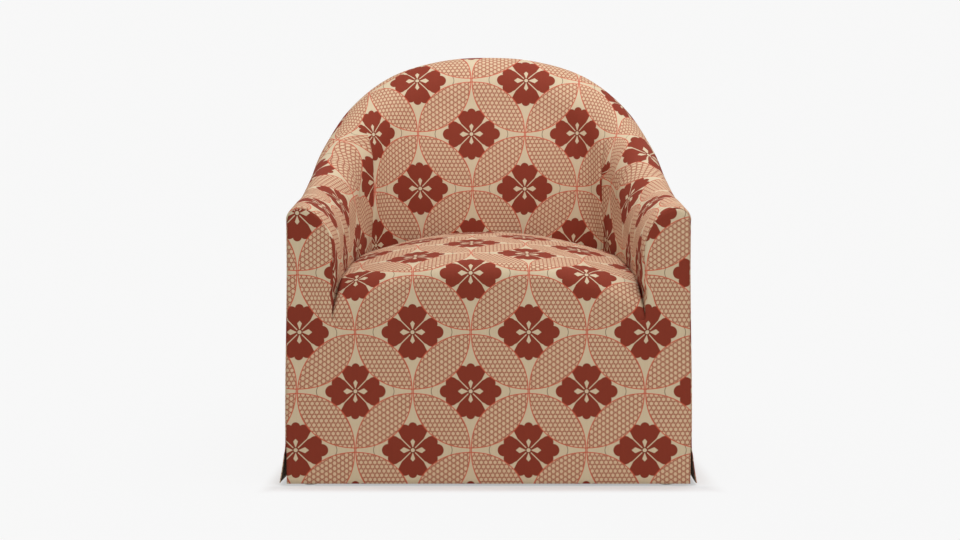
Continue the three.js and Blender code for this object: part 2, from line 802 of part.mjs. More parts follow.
// A solid through a row of rings of points, with its two ends closed.
function through(rings) {
  const size = rings[0].length;
  const points = rings.flat();
  const faces = [];
  for (let i = 0; i < rings.length - 1; i += 1) {
    for (let j = 0; j < size; j += 1) {
      const a = i * size + j;
      const b = i * size + (j + 1) % size;
      if (points[a].z < points[a + size].z) faces.push(a, b, a + size, b, b + size, a + size);
      else faces.push(a, b, b + size, a, b + size, a + size);
    }
  }
  const lastRing = (rings.length - 1) * size;
  for (let j = 0; j < size - 2; j += 1) {
    faces.push(size - 1, j + 1, j);
    faces.push(lastRing + size - 1, lastRing + j, lastRing + j + 1);
  }
  const geometry = new THREE.BufferGeometry();
  const positions = new Float32Array(points.length * 3);
  points.forEach((p, i) => p.toArray(positions, i * 3));
  geometry.setAttribute('position', new THREE.BufferAttribute(positions, 3));
  geometry.setIndex(faces);
  return facingOut(geometry);
}

// Rings moved in by a seam at both ends, so that end grain meets end grain with a gap.
function seamEnds(rings) {
  const last = rings.length - 1;
  const shift = (ring, other) => ring.map((point, j) => {
    const along = new THREE.Vector3().subVectors(other[j], point).normalize();
    return point.clone().addScaledVector(along, seam);
  });
  const start = shift(rings[0], rings[1]);
  const end = shift(rings[last], rings[last - 1]);
  return [start, ...rings.slice(1, -1), end];
}

const postStation = placeList.indexOf(postShare);
function stationsBetween(from, to) {
  return Array.from({ length: to - from + 1 }, (unused, k) => from + k);
}
function crestRail(name, from, to) {
  const rings = stationsBetween(from, to)
    .map((i) => crestRailSection(i, railRows, railFoot(folded(placeList[i]))));
  return add(name, through(seamEnds(rings)), timber);
}
crestRail('arm_rail_right', postStation, seamStation);
crestRail('crest_rail', seamStation, lastStation - seamStation);
crestRail('arm_rail_left', lastStation - seamStation, lastStation - postStation);

// Arm posts stand on the rails and fill the arm fronts up to the foam.
function armPost(name, from, to) {
  const rings = stationsBetween(from, to)
    .map((i) => crestRailSection(i, postRows, railTop + seam));
  return add(name, through(seamEnds(rings)), timber);
}
armPost('arm_post_right', 0, postStation);
armPost('arm_post_left', lastStation - postStation, lastStation);

// Back posts stand on the rear rail and carry the joints of the crest rails.
function postHeights(place) {
  return [railTop + seam, railFoot(place) - 2 * seam];
}
const postPlaces = [seamShare - postTurn, seamShare, seamShare + postTurn];
const postInset = frameInset + postClearance;
outerLayer('back_post_right', postPlaces, postHeights, postInset, postInset + backPostDepth, timber);
const farPostPlaces = postPlaces.map((place) => 2 * middleShare - place).reverse();
outerLayer('back_post_left', farPostPlaces, postHeights, postInset, postInset + backPostDepth,
  timber);

// A point behind the foam of the inner wall, at a height and a depth behind that foam.
const wallRow = insideRowCount - wallShares.length - 2;
function behindFoam(i, height, behind) {
  const column = insideGrid[i];
  let j = wallRow;
  while (j < insideRowCount - 2 && column[j + 1].z > height) j += 1;
  const f = (column[j].z - height) / (column[j].z - column[j + 1].z);
  const base = column[j].clone().lerp(column[j + 1], f);
  const inward = insideInward[i][j].clone().lerp(insideInward[i][j + 1], f);
  const depthHere = foamDepth(placeList[i], insideRowCount - 1) + behind;
  return base.addScaledVector(inward.setZ(0), depthHere);
}
function wallPiece(name, stations, heights, behind, wall, look) {
  const outer = [];
  const inner = [];
  for (const i of stations) {
    for (const height of heights(i)) {
      outer.push(behindFoam(i, height, behind));
      inner.push(behindFoam(i, height, behind + wall));
    }
  }
  const postBack = front + layer + armPostThickness;
  for (const point of [...outer, ...inner]) point.setY(Math.max(point.y, postBack));
  const columns = heights(stations[0]).length;
  for (const list of [outer, inner]) trimEnds(list, stations.length, columns, () => seam);
  return add(name, solidBetween(outer, inner, gridTriangles(outer, columns)), look);
}

// Tack rails, where the inside cover and the foam end behind the seat.
const tackHeights = () => [foamFoot + tackRailHeight, foamFoot];
const tack = (name, from, to) => wallPiece(name, stationsBetween(from, to), tackHeights,
  strapRoom, tackRailThickness, timber);
tack('arm_tack_rail_right', postStation, seamStation);
tack('back_tack_rail', seamStation, lastStation - seamStation);
tack('arm_tack_rail_left', lastStation - seamStation, lastStation - postStation);

// The slat stands behind the tack rail, up to the crest rail.
const slatStation = placeList.indexOf(slatShare);
const wallFootShares = [1, 0.75, 0.5, 0.25, 0];
const slatHeights = (i) => wallFootShares
  .map((share) => mix(foamFoot, railFoot(folded(placeList[i])) - 2 * seam, share));
wallPiece('back_slat', stationsBetween(slatStation, lastStation - slatStation), slatHeights,
  strapRoom + tackRailThickness + seam, slatThickness, timber);

// Straps hang down the back of the foam, in front of the crest rail and the tack rail.
const strapRow = 5;
function strap(name, from, to) {
  const outer = [];
  const inner = [];
  for (let i = from; i <= to; i += 1) {
    for (let j = strapRow; j < insideRowCount; j += 1) {
      const behind = foamDepth(placeList[i], j) + seam;
      outer.push(insidePoint(i, j, behind));
      inner.push(insidePoint(i, j, behind + strapThickness));
    }
  }
  const columns = insideRowCount - strapRow;
  return add(name, solidBetween(outer, inner, gridTriangles(outer, columns)), webbing);
}
const [strapFrom, strapTo] = sideStrapShares.map((share) => placeList.indexOf(share));
strap('back_strap_right', strapFrom, strapTo);
strap('back_strap_middle', slatStation, lastStation - slatStation);
strap('back_strap_left', lastStation - strapTo, lastStation - strapFrom);

// Sinuous springs run from the front rail to the rear rail, arched a little, each end held by a
// clip on the face of its rail.
const wireMiddle = clipPlate + clipSlack + wireRadius;
const springFoot = railTop - wireRadius - springArch;
class SpringLine extends THREE.Curve {
  constructor(x, from, to) {
    super();
    this.x = x;
    this.from = from;
    this.to = to;
  }

  getPoint(f, target = new THREE.Vector3()) {
    const overhang = Math.PI * hookShare;
    const whole = springBends * Math.PI;
    const turn = mix(-overhang, whole + overhang, f);
    const advance = (this.to - this.from) / whole;
    const along = Math.min(Math.max(turn / whole, 0), 1);
    return target.set(
      this.x - springWidth / 2 * Math.sin(turn),
      this.from + advance * (turn - Math.sin(2 * turn) / 2),
      springFoot + springArch * Math.sin(Math.PI * along),
    );
  }
}
function spring(x, from, to) {
  const wire = new THREE.Shape();
  const sides = 5;
  for (let k = 0; k < sides; k += 1) {
    const turn = 2 * Math.PI * k / sides;
    if (k === 0) wire.moveTo(wireRadius * Math.cos(turn), wireRadius * Math.sin(turn));
    else wire.lineTo(wireRadius * Math.cos(turn), wireRadius * Math.sin(turn));
  }
  const path = new SpringLine(x, from, to);
  return welded(new THREE.ExtrudeGeometry(wire, {
    steps: springBends * 6,
    bevelEnabled: false,
    extrudePath: path,
  }));
}
function clip() {
  const armTop = -wireRadius - seam;
  const lip = wireMiddle + wireRadius + clipSlack;
  const profile = [
    [0, -clipHeight / 2], [clipPlate, -clipHeight / 2], [clipPlate, armTop - clipPlate],
    [lip + clipPlate, armTop - clipPlate], [lip + clipPlate, wireRadius], [lip, wireRadius],
    [lip, armTop], [clipPlate, armTop], [clipPlate, clipHeight / 2], [0, clipHeight / 2],
  ];
  const shape = new THREE.Shape(profile.map(([y, z]) => new THREE.Vector2(y, z)));
  const geometry = new THREE.ExtrudeGeometry(shape, { depth: clipWidth, bevelEnabled: false });
  geometry.translate(0, 0, -clipWidth / 2);
  geometry.rotateX(Math.PI / 2);
  geometry.rotateZ(Math.PI / 2);
  return welded(geometry);
}
function rearRailFace(x) {
  const face = rearPlaces.filter((place) => place <= 1)
    .map((place) => outerWall(place, springFoot, frameOut));
  const k = face.findIndex((point) => point.x <= x);
  const f = (face[k - 1].x - x) / (face[k - 1].x - face[k].x);
  return mix(face[k - 1].y, face[k].y, f);
}
const springShares = [-1.5, -0.5, 0.5, 1.5];
springShares.forEach((share, k) => {
  const x = share * springSpacing;
  const frontFace = frontRailBack + seam;
  const rearFace = rearRailFace(Math.abs(x) + clipWidth / 2) - seam;
  add(`spring_${k + 1}`, spring(x, frontFace + wireMiddle, rearFace - wireMiddle), steel);
  const frontClip = add(`spring_clip_front_${k + 1}`, clip(), steel);
  frontClip.position.set(x, frontFace, springFoot);
  const rearClip = add(`spring_clip_rear_${k + 1}`, clip(), steel);
  rearClip.position.set(x, rearFace, springFoot);
  rearClip.rotation.z = Math.PI;
});

export default chair;
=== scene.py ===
"""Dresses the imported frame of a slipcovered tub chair: printed covers, upholstery and timber."""
import json
import math

import bmesh
import bpy
from bpy.props import FloatProperty, FloatVectorProperty, PointerProperty
from bpy.types import Operator, Panel, PropertyGroup
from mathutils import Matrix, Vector, noise


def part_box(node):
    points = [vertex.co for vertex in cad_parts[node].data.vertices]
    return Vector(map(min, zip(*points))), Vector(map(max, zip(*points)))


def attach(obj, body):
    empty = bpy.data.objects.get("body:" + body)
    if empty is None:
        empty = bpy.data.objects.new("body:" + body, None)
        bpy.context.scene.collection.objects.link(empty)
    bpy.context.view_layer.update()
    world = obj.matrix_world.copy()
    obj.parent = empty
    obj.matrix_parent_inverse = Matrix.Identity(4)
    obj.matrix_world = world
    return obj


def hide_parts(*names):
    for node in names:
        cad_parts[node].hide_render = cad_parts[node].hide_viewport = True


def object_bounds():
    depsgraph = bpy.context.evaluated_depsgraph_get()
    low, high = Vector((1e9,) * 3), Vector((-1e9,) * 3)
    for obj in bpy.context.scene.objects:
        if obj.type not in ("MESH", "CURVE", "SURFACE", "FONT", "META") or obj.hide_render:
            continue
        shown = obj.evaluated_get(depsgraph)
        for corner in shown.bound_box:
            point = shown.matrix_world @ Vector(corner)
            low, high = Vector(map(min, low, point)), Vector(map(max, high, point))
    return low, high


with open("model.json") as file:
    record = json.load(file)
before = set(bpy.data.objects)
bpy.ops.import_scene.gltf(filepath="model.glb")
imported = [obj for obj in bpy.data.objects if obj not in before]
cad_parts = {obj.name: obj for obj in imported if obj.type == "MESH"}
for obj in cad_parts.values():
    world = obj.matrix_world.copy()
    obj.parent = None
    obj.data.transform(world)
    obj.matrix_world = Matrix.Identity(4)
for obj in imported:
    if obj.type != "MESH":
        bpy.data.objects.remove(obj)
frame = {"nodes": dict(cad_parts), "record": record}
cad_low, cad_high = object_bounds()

bl_info = {
    "name": "Slipcovered tub chair",
    "version": (1, 0, 0),
    "blender": (4, 5, 0),
    "location": "View3D > Sidebar > Tub chair",
    "description": "Sews the printed covers and dresses the frame of a slipcovered tub chair",
    "category": "Object",
}

CAD_SIZE = cad_high - cad_low
UV_NAME = "cloth"
THREAD = 0.7  # width of a thread of the covers in millimetres


def length_property(name, description, default):
    return FloatProperty(name=name, description=description, default=default, min=0.0,
                         subtype="DISTANCE", unit="LENGTH")


def colour_property(name, description, red, green, blue):
    """A colour given as 0 to 255 screen values, kept as linear ones."""
    def linear(value):
        share = value / 255
        return share / 12.92 if share <= 0.04045 else ((share + 0.055) / 1.055) ** 2.4
    return FloatVectorProperty(name=name, description=description, subtype="COLOR", size=3,
                               min=0.0, max=1.0,
                               default=(linear(red), linear(green), linear(blue)))


class ChairSizes(PropertyGroup):
    depth: length_property("Depth", "From the front panel to the outer back", CAD_SIZE.y)
    height: length_property("Height", "From the floor to the top of the back", CAD_SIZE.z)
    front_width: length_property("Front width", "Width of the flat front above the skirt", 0.8)
    rear_half_width: length_property("Rear half width", "Half width where the corners start", 0.372)
    corner_run: length_property("Corner run", "Depth of the round rear corners", 0.375)
    arm_height: length_property("Arm height", "Top of the arms at their fronts", 0.5566)
    arm_thickness: length_property("Arm thickness", "Thickness of the arms", 0.097)
    back_thickness: length_property("Back thickness", "Thickness of the back", 0.125)
    seat_height: length_property("Seat height", "Highest line of the seat", 0.467)
    seat_front: length_property("Seat front", "Top of the seat's front edge", 0.446)
    edge_radius: length_property("Edge radius", "Rounding of the arm fronts", 0.012)
    hem_height: length_property("Hem height", "Gap between the hem and the floor", 0.005)
    slit_height: length_property("Slit height", "Height of the open corners of the skirt", 0.082)
    skirt_flare: length_property("Skirt flare", "How far the skirt stands out at the hem", 0.011)
    cloth: length_property("Cloth", "Thickness of the cover cloth", 0.0016)
    crease: length_property("Crease", "Depth of the folds between the back and the arms", 0.007)


class PrintSizes(PropertyGroup):
    pitch_across: length_property("Pitch across", "Half the repeat across", 0.1148)
    pitch_up: length_property("Pitch up", "Half the repeat up the cloth", 0.118)
    ring: length_property("Ring", "Radius of the interlocking rings", 0.1135)
    line: length_property("Line", "Half width of the ring lines", 0.001)
    ground: colour_property("Ground", "Tan ground of the print", 203, 184, 153)
    dot: colour_property("Dot", "Pale dots of the lenses", 206, 179, 146)
    blush: colour_property("Blush", "Pink round the dots", 196, 138, 110)
    trellis: colour_property("Trellis", "Fine lines in the lenses", 128, 64, 45)
    ring_red: colour_property("Ring red", "Lines of the rings", 192, 84, 62)
    madder: colour_property("Madder", "Red of the flowers", 130, 53, 37)
    umber: colour_property("Umber", "Fine dark arcs", 104, 76, 58)
    reverse: colour_property("Reverse", "Back side of the cloth", 150, 134, 118)


class FrameColours(PropertyGroup):
    timber: colour_property("Timber", "Planed rails and legs", 196, 158, 112)
    board: colour_property("Board", "Liner board", 158, 134, 100)
    steel: colour_property("Steel", "Springs and clips", 150, 152, 156)
    nylon: colour_property("Nylon", "Glides", 216, 214, 208)
    foam: colour_property("Foam", "Seat and wall foam", 232, 222, 190)
    webbing: colour_property("Webbing", "Back straps", 76, 70, 66)
    felt: colour_property("Felt", "Pad over the springs", 136, 132, 126)
    black_cloth: colour_property("Black cloth", "Dust cover below the seat", 40, 40, 43)
    floor: colour_property("Floor", "Studio floor", 242, 242, 242)


# Shapes

def ease(start, end, value):
    share = min(max((value - start) / (end - start), 0.0), 1.0)
    return share * share * (3 - 2 * share)


def mix(a, b, share):
    return a + (b - a) * share


def follow(rows, place):
    """Reads a table of (place, value) rows with a smooth curve through them."""
    last = len(rows) - 1
    k = 0
    while k < last - 1 and place > rows[k + 1][0]:
        k += 1

    def slope(i):
        a, b = rows[max(i - 1, 0)], rows[min(i + 1, last)]
        return (b[1] - a[1]) / (b[0] - a[0])

    span = rows[k + 1][0] - rows[k][0]
    share = (place - rows[k][0]) / span
    rise = rows[k + 1][1] - rows[k][1]
    start = slope(k) * span
    end = 0 if k + 1 == last else slope(k + 1) * span
    return (rows[k][1] + share * start + share ** 2 * (3 * rise - 2 * start - end)
            + share ** 3 * (start + end - 2 * rise))


def lengths(points):
    """How far along a line each of its points is."""
    run = [0.0]
    for a, b in zip(points, points[1:]):
        run.append(run[-1] + (b - a).length)
    return run


def steps_along(run, count):
    """Equal steps along a line: the stretch that each one ends in, the share of that stretch,
    and the distance from the start."""
    k = 0
    for step in range(count + 1):
        goal = run[-1] * step / count
        while k < len(run) - 2 and run[k + 1] < goal:
            k += 1
        yield k, (goal - run[k]) / max(run[k + 1] - run[k], 1e-9), goal


def spaced(points, count):
    """The points of a line at equal steps, each with its distance along the line."""
    return [(points[k].lerp(points[k + 1], share), goal)
            for k, share, goal in steps_along(lengths(points), count)]


def eased(points):
    """Rounds off where the roll meets the wall, and leaves the outer roll and the foot."""
    last = len(points) - 1
    shares = [0.9 * ease(0.25, 0.40, k / last) * (1 - ease(0.70, 0.82, k / last))
              for k in range(last)]
    for _ in range(36):
        held = list(points)
        for k, share in enumerate(shares):
            if share > 0:
                points[k] = held[k].lerp((held[k - 1] + held[k + 1]) / 2, share)
    return points


class Shell:
    """The round shell of arms and back. Place 0 is an arm front and 1 the middle of the back."""

    # How the top edge rises from the arms to the back.
    CREST = [(0, 0), (0.125, 0.030), (0.25, 0.057), (0.375, 0.133), (0.5, 0.241), (0.6, 0.403),
             (0.7, 0.641), (0.8, 0.830), (0.9, 0.945), (1, 1)]
    ROUND = 2 / 2.6  # the rear corners are superellipses
    LEAN = 0.022  # how far the outer back leans backwards
    SPLAY = 0.0052  # how far the covers widen towards the floor
    ROLL_DROP = 0.098  # from the top edge down to the inner wall
    WALL_FOOT = 0.45  # heights where the wall meets the seat and where it ends behind it
    WALL_END = 0.34
    PUFF = 0.010  # bulge of the inner back
    SEAM_PLACE = 0.725  # between the outer arms and the outer back
    CREASE_PLACE = 0.647  # between the inner arms and the inner back
    COVER_START = 0.0034  # the inside and outer covers begin this far behind the front panel
    # The well that the seat fills: its depth, its rounding and its half width at the rear, and
    # the places between which it turns.
    WELL_DEPTH = 0.62
    WELL_CORNER = 0.06
    WELL_SIDE = 0.254
    WELL_TURN = (0.622, 0.789)

    def __init__(self, sizes):
        self.sizes = sizes
        self.front = -sizes.depth / 2
        self.start = sizes.depth / 2 - sizes.corner_run
        self.half = sizes.front_width / 2
        # The way round the inside from the middle of the back, by places, low on the wall.
        run = lengths([self.section(k / 400, 2.6) for k in range(401)])
        self.rounds = [run[-1] - value for value in run]

    def place_behind(self, distance):
        """The place that is a short way behind the front panel."""
        return 0.5 * distance / (self.start - self.front)

    def outline(self, place):
        """A point of the plan's outline, and the direction inwards."""
        if place <= 0.5:
            share = place / 0.5
            return (mix(self.half, self.sizes.rear_half_width, share),
                    mix(self.front, self.start, share), -1.0, 0.0)
        turn = (place - 0.5) * math.pi
        cos, sin = max(math.cos(turn), 0.0), math.sin(turn)
        wide, run = self.sizes.rear_half_width, self.sizes.corner_run
        nx, ny = cos ** (2 - self.ROUND) / wide, sin ** (2 - self.ROUND) / run
        size = math.hypot(nx, ny)
        return (wide * cos ** self.ROUND, self.start + run * sin ** self.ROUND,
                -nx / size, -ny / size)

    def crest(self, place):
        return mix(self.sizes.arm_height, self.sizes.height, follow(self.CREST, place))

    def thickness(self, place):
        return mix(self.sizes.arm_thickness, self.sizes.back_thickness, ease(0.5, 1, place))

    def roll(self, place):
        """Width and drop of the outer roll of the top edge."""
        share = ease(0.3, 0.8, place)
        return mix(0.028, 0.050, share), mix(0.028, 0.045, share)

    def edge_inset(self, y):
        """How far the rounded edge of the arm fronts lies inside the flat sides."""
        radius = self.sizes.edge_radius
        short = max(radius - (y - self.front), 0.0)
        return radius - math.sqrt(max(radius ** 2 - short ** 2, 0.0))

    def splay(self, height):
        """How much the covers widen at a height."""
        return self.SPLAY * (1 - ease(0.12, 0.46, height))

    def below_slit(self, height):
        """0 above the open corners of the skirt, and 1 at the hem."""
        slit = self.sizes.slit_height
        return max(self.sizes.hem_height + slit - height, 0.0) / slit

    def outer_wall(self, place, height):
        """A point of the outer face. Places over 1 are on the left of the middle of the back."""
        folded = min(place, 2 - place)
        x, y, in_x, in_y = self.outline(folded)
        lean = self.LEAN * ease(0.5, 1, folded) * (self.crest(folded) - height)
        below = self.below_slit(height)
        rounding = self.edge_inset(y) * (1 - ease(0.0, 0.35, below))
        q = (lean / self.sizes.height + rounding - self.splay(height)
             - self.sizes.skirt_flare * below ** 1.5)
        return Vector((math.copysign(x + in_x * q, 1 - place), y + in_y * q, height))

    def well_edge(self, place):
        """A point of the edge of the seat's well."""
        turn_start, turn_end = self.WELL_TURN
        rear = self.front + self.WELL_DEPTH
        corner = rear - self.WELL_CORNER
        if place <= turn_start:
            share = follow([(0, 0), (0.5, 0.7), (turn_start, 1)], place)
            wide = self.half - self.sizes.arm_thickness
            return mix(wide, self.WELL_SIDE, share), mix(self.front, corner, share)
        if place <= turn_end:
            turn = (place - turn_start) / (turn_end - turn_start) * math.pi / 2
            return (self.WELL_SIDE - self.WELL_CORNER * (1 - math.cos(turn)),
                    corner + self.WELL_CORNER * math.sin(turn))
        share = (place - turn_end) / (1 - turn_end)
        return mix(self.WELL_SIDE - self.WELL_CORNER, 0, share), rear

    def section(self, place, t):
        """A point of the inside face: t is 0 to 1 over the outer roll, to 2 over the inner roll
        and to 3 down the wall to the seat, and goes on to 4 behind the seat."""
        x, y, in_x, in_y = self.outline(place)
        inset = self.edge_inset(y)
        roll_width, roll_drop = self.roll(place)
        top, wall = self.crest(place), self.thickness(place)
        if t <= 1:
            turn = t * math.pi / 2
            q = roll_width - (roll_width - inset) * math.cos(turn)
            return Vector((x + in_x * q, y + in_y * q,
                           top - roll_drop + (roll_drop - inset) * math.sin(turn)))
        turn = min(t - 1, 1) * math.pi / 2
        q = roll_width + (wall - inset - roll_width) * math.sin(turn)
        z = top - self.ROLL_DROP + (self.ROLL_DROP - inset) * math.cos(turn)
        high = Vector((x + in_x * q, y + in_y * q, z))
        if t <= 2:
            return high
        share = min(t - 2, 1.0)
        foot_x, foot_y = self.well_edge(place)
        foot_z = min(self.WALL_FOOT, z - 0.0034)
        puff = self.PUFF * ease(0.5, 1, place) * 4 * share * (1 - share)
        point = Vector((mix(high.x, foot_x + inset, share) + in_x * puff,
                        mix(high.y, foot_y, share) + in_y * puff, mix(z, foot_z, share)))
        if t > 3:
            point.z = mix(foot_z, self.WALL_END, t - 3)
        return point

    def along(self, place):
        """How far round the inside a place is from the middle of the back."""
        steps = len(self.rounds) - 1
        k = min(int(place * steps), steps - 1)
        return mix(self.rounds[k], self.rounds[k + 1], place * steps - k)

    def place_at(self, distance):
        """The place at a distance round the inside from the middle of the back."""
        low, high = 0.0, 1.0
        for _ in range(32):
            middle = (low + high) / 2
            if self.along(middle) > distance:
                low = middle
            else:
                high = middle
        return (low + high) / 2

    def column(self, place, count):
        """Points down one section at equal steps, each with its height above the seat line
        measured over the cloth."""
        fine, seat_line, end = 240, 3.0, 3.6
        points = eased([self.section(place, end * (k / fine)) for k in range(fine + 1)])
        seat = lengths(points)[round(fine * seat_line / end)]
        return [(point, seat - goal) for point, goal in spaced(points, count)]


class Seat:
    """The crowned seat, which rolls over into the flat front."""

    SUMMIT = 0.55  # share of the depth at which the seat is highest
    SIDE_DROP = 0.045  # how much lower its sides are
    # The roll over the front is round in the middle, and slack at the tips beside the arms.
    ROLL_MIDDLE = 0.034
    ROLL_SIDE_DEPTH = 0.140
    ROLL_SIDE_DROP = 0.080
    SEAM = 0.0004  # gap to the inside cover

    def __init__(self, shell):
        self.shell = shell
        self.sizes = shell.sizes
        self.front = shell.front
        self.limit = shell.WELL_DEPTH - self.SEAM

    def half_width(self, y):
        share = (y - self.front) / (self.shell.WELL_DEPTH - self.shell.WELL_CORNER)
        wide = self.shell.half - self.sizes.arm_thickness
        return mix(wide, self.shell.WELL_SIDE, share) - self.SEAM

    def rear(self, across):
        """Where the seat ends at the back. across is -1 to 1 between its sides."""
        corner = self.shell.WELL_CORNER
        half = self.half_width(self.front + self.limit)
        past = max(abs(across) * half - half + corner, 0.0)
        return self.front + self.limit - corner + math.sqrt(max(corner ** 2 - past ** 2, 0.0))

    def top(self, across, y):
        summit = self.front + self.shell.WELL_DEPTH * self.SUMMIT
        run = summit - self.front - self.ROLL_MIDDLE
        rise = self.sizes.seat_height - self.sizes.seat_front
        return (self.sizes.seat_height - rise * ((y - summit) / run) ** 2
                - self.SIDE_DROP * abs(across) ** 2.1)

    def tip_height(self):
        """Height of the points where the seat parts from the arm fronts."""
        return self.top(1, self.front + self.ROLL_SIDE_DEPTH) - self.ROLL_SIDE_DROP

    def column(self, across, count):
        """Points up from the line of the tips, over the roll and back, at equal steps."""
        side = abs(across) ** 5
        run = mix(self.ROLL_MIDDLE, self.ROLL_SIDE_DEPTH, side)
        drop = mix(self.ROLL_MIDDLE, self.ROLL_SIDE_DROP, side)
        roll_end = self.front + run
        top = self.top(across, roll_end)
        line = [(self.front, self.tip_height())]
        for k in range(41):
            turn = k / 40 * math.pi / 2
            line.append((roll_end - run * math.cos(turn), top - drop + drop * math.sin(turn)))
        for k in range(1, 61):
            y = mix(roll_end, self.rear(across), k / 60)
            line.append((y, self.top(across, y)))
        return spaced([Vector((across * self.half_width(y), y, z)) for y, z in line], count)


def cloth_grid(mesh, columns, rows, place):
    """Adds a grid of quads to a bmesh. place(i, j) gives a point and its place on the cloth.
    A third value, if it gives one, is the place on the cloth for the faces on its far side."""
    before = len(mesh.verts)
    bmesh.ops.create_grid(mesh, x_segments=columns, y_segments=rows, size=0.5)
    mesh.verts.ensure_lookup_table()
    made = mesh.verts[before:]
    layer = mesh.loops.layers.uv.get(UV_NAME) or mesh.loops.layers.uv.new(UV_NAME)
    spots, values = {}, {}
    for vert in made:
        spot = round((vert.co.x + 0.5) * columns), round((vert.co.y + 0.5) * rows)
        vert.co, *cloth = place(*spot)
        spots[vert] = spot
        values[spot] = cloth
    for face in {face for vert in made for face in vert.link_faces}:
        middle = sum(spots[vert][0] for vert in face.verts) / len(face.verts)
        for loop in face.loops:
            spot = spots[loop.vert]
            loop[layer].uv = values[spot][-1 if middle > spot[0] else 0]


def face_away(mesh, outwards):
    """Turns an open sheet over if it faces inwards, which outwards(face) tells by its sign."""
    if sum(outwards(face) for face in mesh.faces) < 0:
        bmesh.ops.reverse_faces(mesh, faces=mesh.faces[:])


def add_piece(name, mesh, materials):
    """Makes an object of a bmesh, in place, that rides on the chair."""
    data = bpy.data.meshes.new(name)
    for face in mesh.faces:
        face.smooth = True
    mesh.to_mesh(data)
    mesh.free()
    for finish in materials:
        data.materials.append(finish)
    piece = bpy.data.objects.new(name, data)
    bpy.context.scene.collection.objects.link(piece)
    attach(piece, "root")
    return piece


def sew_cover(name, mesh, scene, node):
    """Makes a cover of a sheet of cloth, with its thickness on the inner side and the reverse of
    the cloth there."""
    prints = scene.tub_chair_prints
    piece = add_piece(name, mesh, [material("printed_cloth", printed_cloth, prints),
                                   material("reverse_cloth", reverse_cloth, prints)])
    solid = piece.modifiers.new("thickness", "SOLIDIFY")
    solid.thickness = scene.tub_chair_sizes.cloth
    solid.offset = -1
    solid.use_even_offset = False
    solid.material_offset = 1
    solid.material_offset_rim = 0
    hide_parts(node)


def ripple(point, scale, size):
    """A soft unevenness, the same on every run."""
    return size * noise.noise(point / scale)


# Finishes

class Signal:
    """A socket that can be used in Python expressions."""

    def __init__(self, nodes, socket):
        self.nodes = nodes
        self.socket = socket

    def __add__(self, other):
        return self.nodes.maths("ADD", self, other)

    def __radd__(self, other):
        return self.nodes.maths("ADD", other, self)

    def __sub__(self, other):
        return self.nodes.maths("SUBTRACT", self, other)

    def __rsub__(self, other):
        return self.nodes.maths("SUBTRACT", other, self)

    def __mul__(self, other):
        return self.nodes.maths("MULTIPLY", self, other)

    def __rmul__(self, other):
        return self.nodes.maths("MULTIPLY", other, self)

    def __truediv__(self, other):
        return self.nodes.maths("DIVIDE", self, other)

    def __rtruediv__(self, other):
        return self.nodes.maths("DIVIDE", other, self)

    def __pow__(self, other):
        return self.nodes.maths("POWER", self, other)

    def __abs__(self):
        return self.nodes.maths("ABSOLUTE", self)

    def least(self, other):
        return self.nodes.maths("MINIMUM", self, other)

    def most(self, other):
        return self.nodes.maths("MAXIMUM", self, other)

    def nearest_whole(self):
        return self.nodes.maths("ROUND", self)

    def sign(self):
        return self.nodes.maths("SIGN", self)

    def sine(self):
        return self.nodes.maths("SINE", self)

    def above(self, edge, soft):
        """1 where the signal is above an edge, with a soft step of a given half width."""
        return self.nodes.made("ShaderNodeMapRange", {"interpolation_type": "SMOOTHSTEP"}, self,
                               edge - soft, edge + soft, 0.0, 1.0)


class Nodes:
    """A node tree, emptied, and the ways to add to it."""

    def __init__(self, tree):
        self.tree = tree
        tree.nodes.clear()

    def node(self, kind, settings, *values, **named):
        """Makes a node, sets its settings, then its sockets by order or by name."""
        node = self.tree.nodes.new(kind)
        for key, value in settings.items():
            setattr(node, key, value)
        pairs = list(enumerate(values)) + [(key.replace("_", " "), v) for key, v in named.items()]
        for key, value in pairs:
            self.feed(node.inputs[key], value)
        return node

    def feed(self, socket, value):
        """Links a signal to a socket, or sets the socket's own value."""
        if isinstance(value, Signal):
            self.tree.links.new(value.socket, socket)
        else:
            socket.default_value = value

    def made(self, kind, settings, *values, **named):
        """The first output of a new node."""
        return Signal(self, self.node(kind, settings, *values, **named).outputs[0])

    def maths(self, operation, *values):
        return self.made("ShaderNodeMath", {"operation": operation}, *values)

    def seen(self):
        """1 for what the camera sees, also in a mirror or through glass, and 0 for light."""
        rays = self.node("ShaderNodeLightPath", {}).outputs
        shown = Signal(self, rays["Is Camera Ray"])
        for kind in ("Is Glossy Ray", "Is Transmission Ray"):
            shown = shown.most(Signal(self, rays[kind]))
        return shown


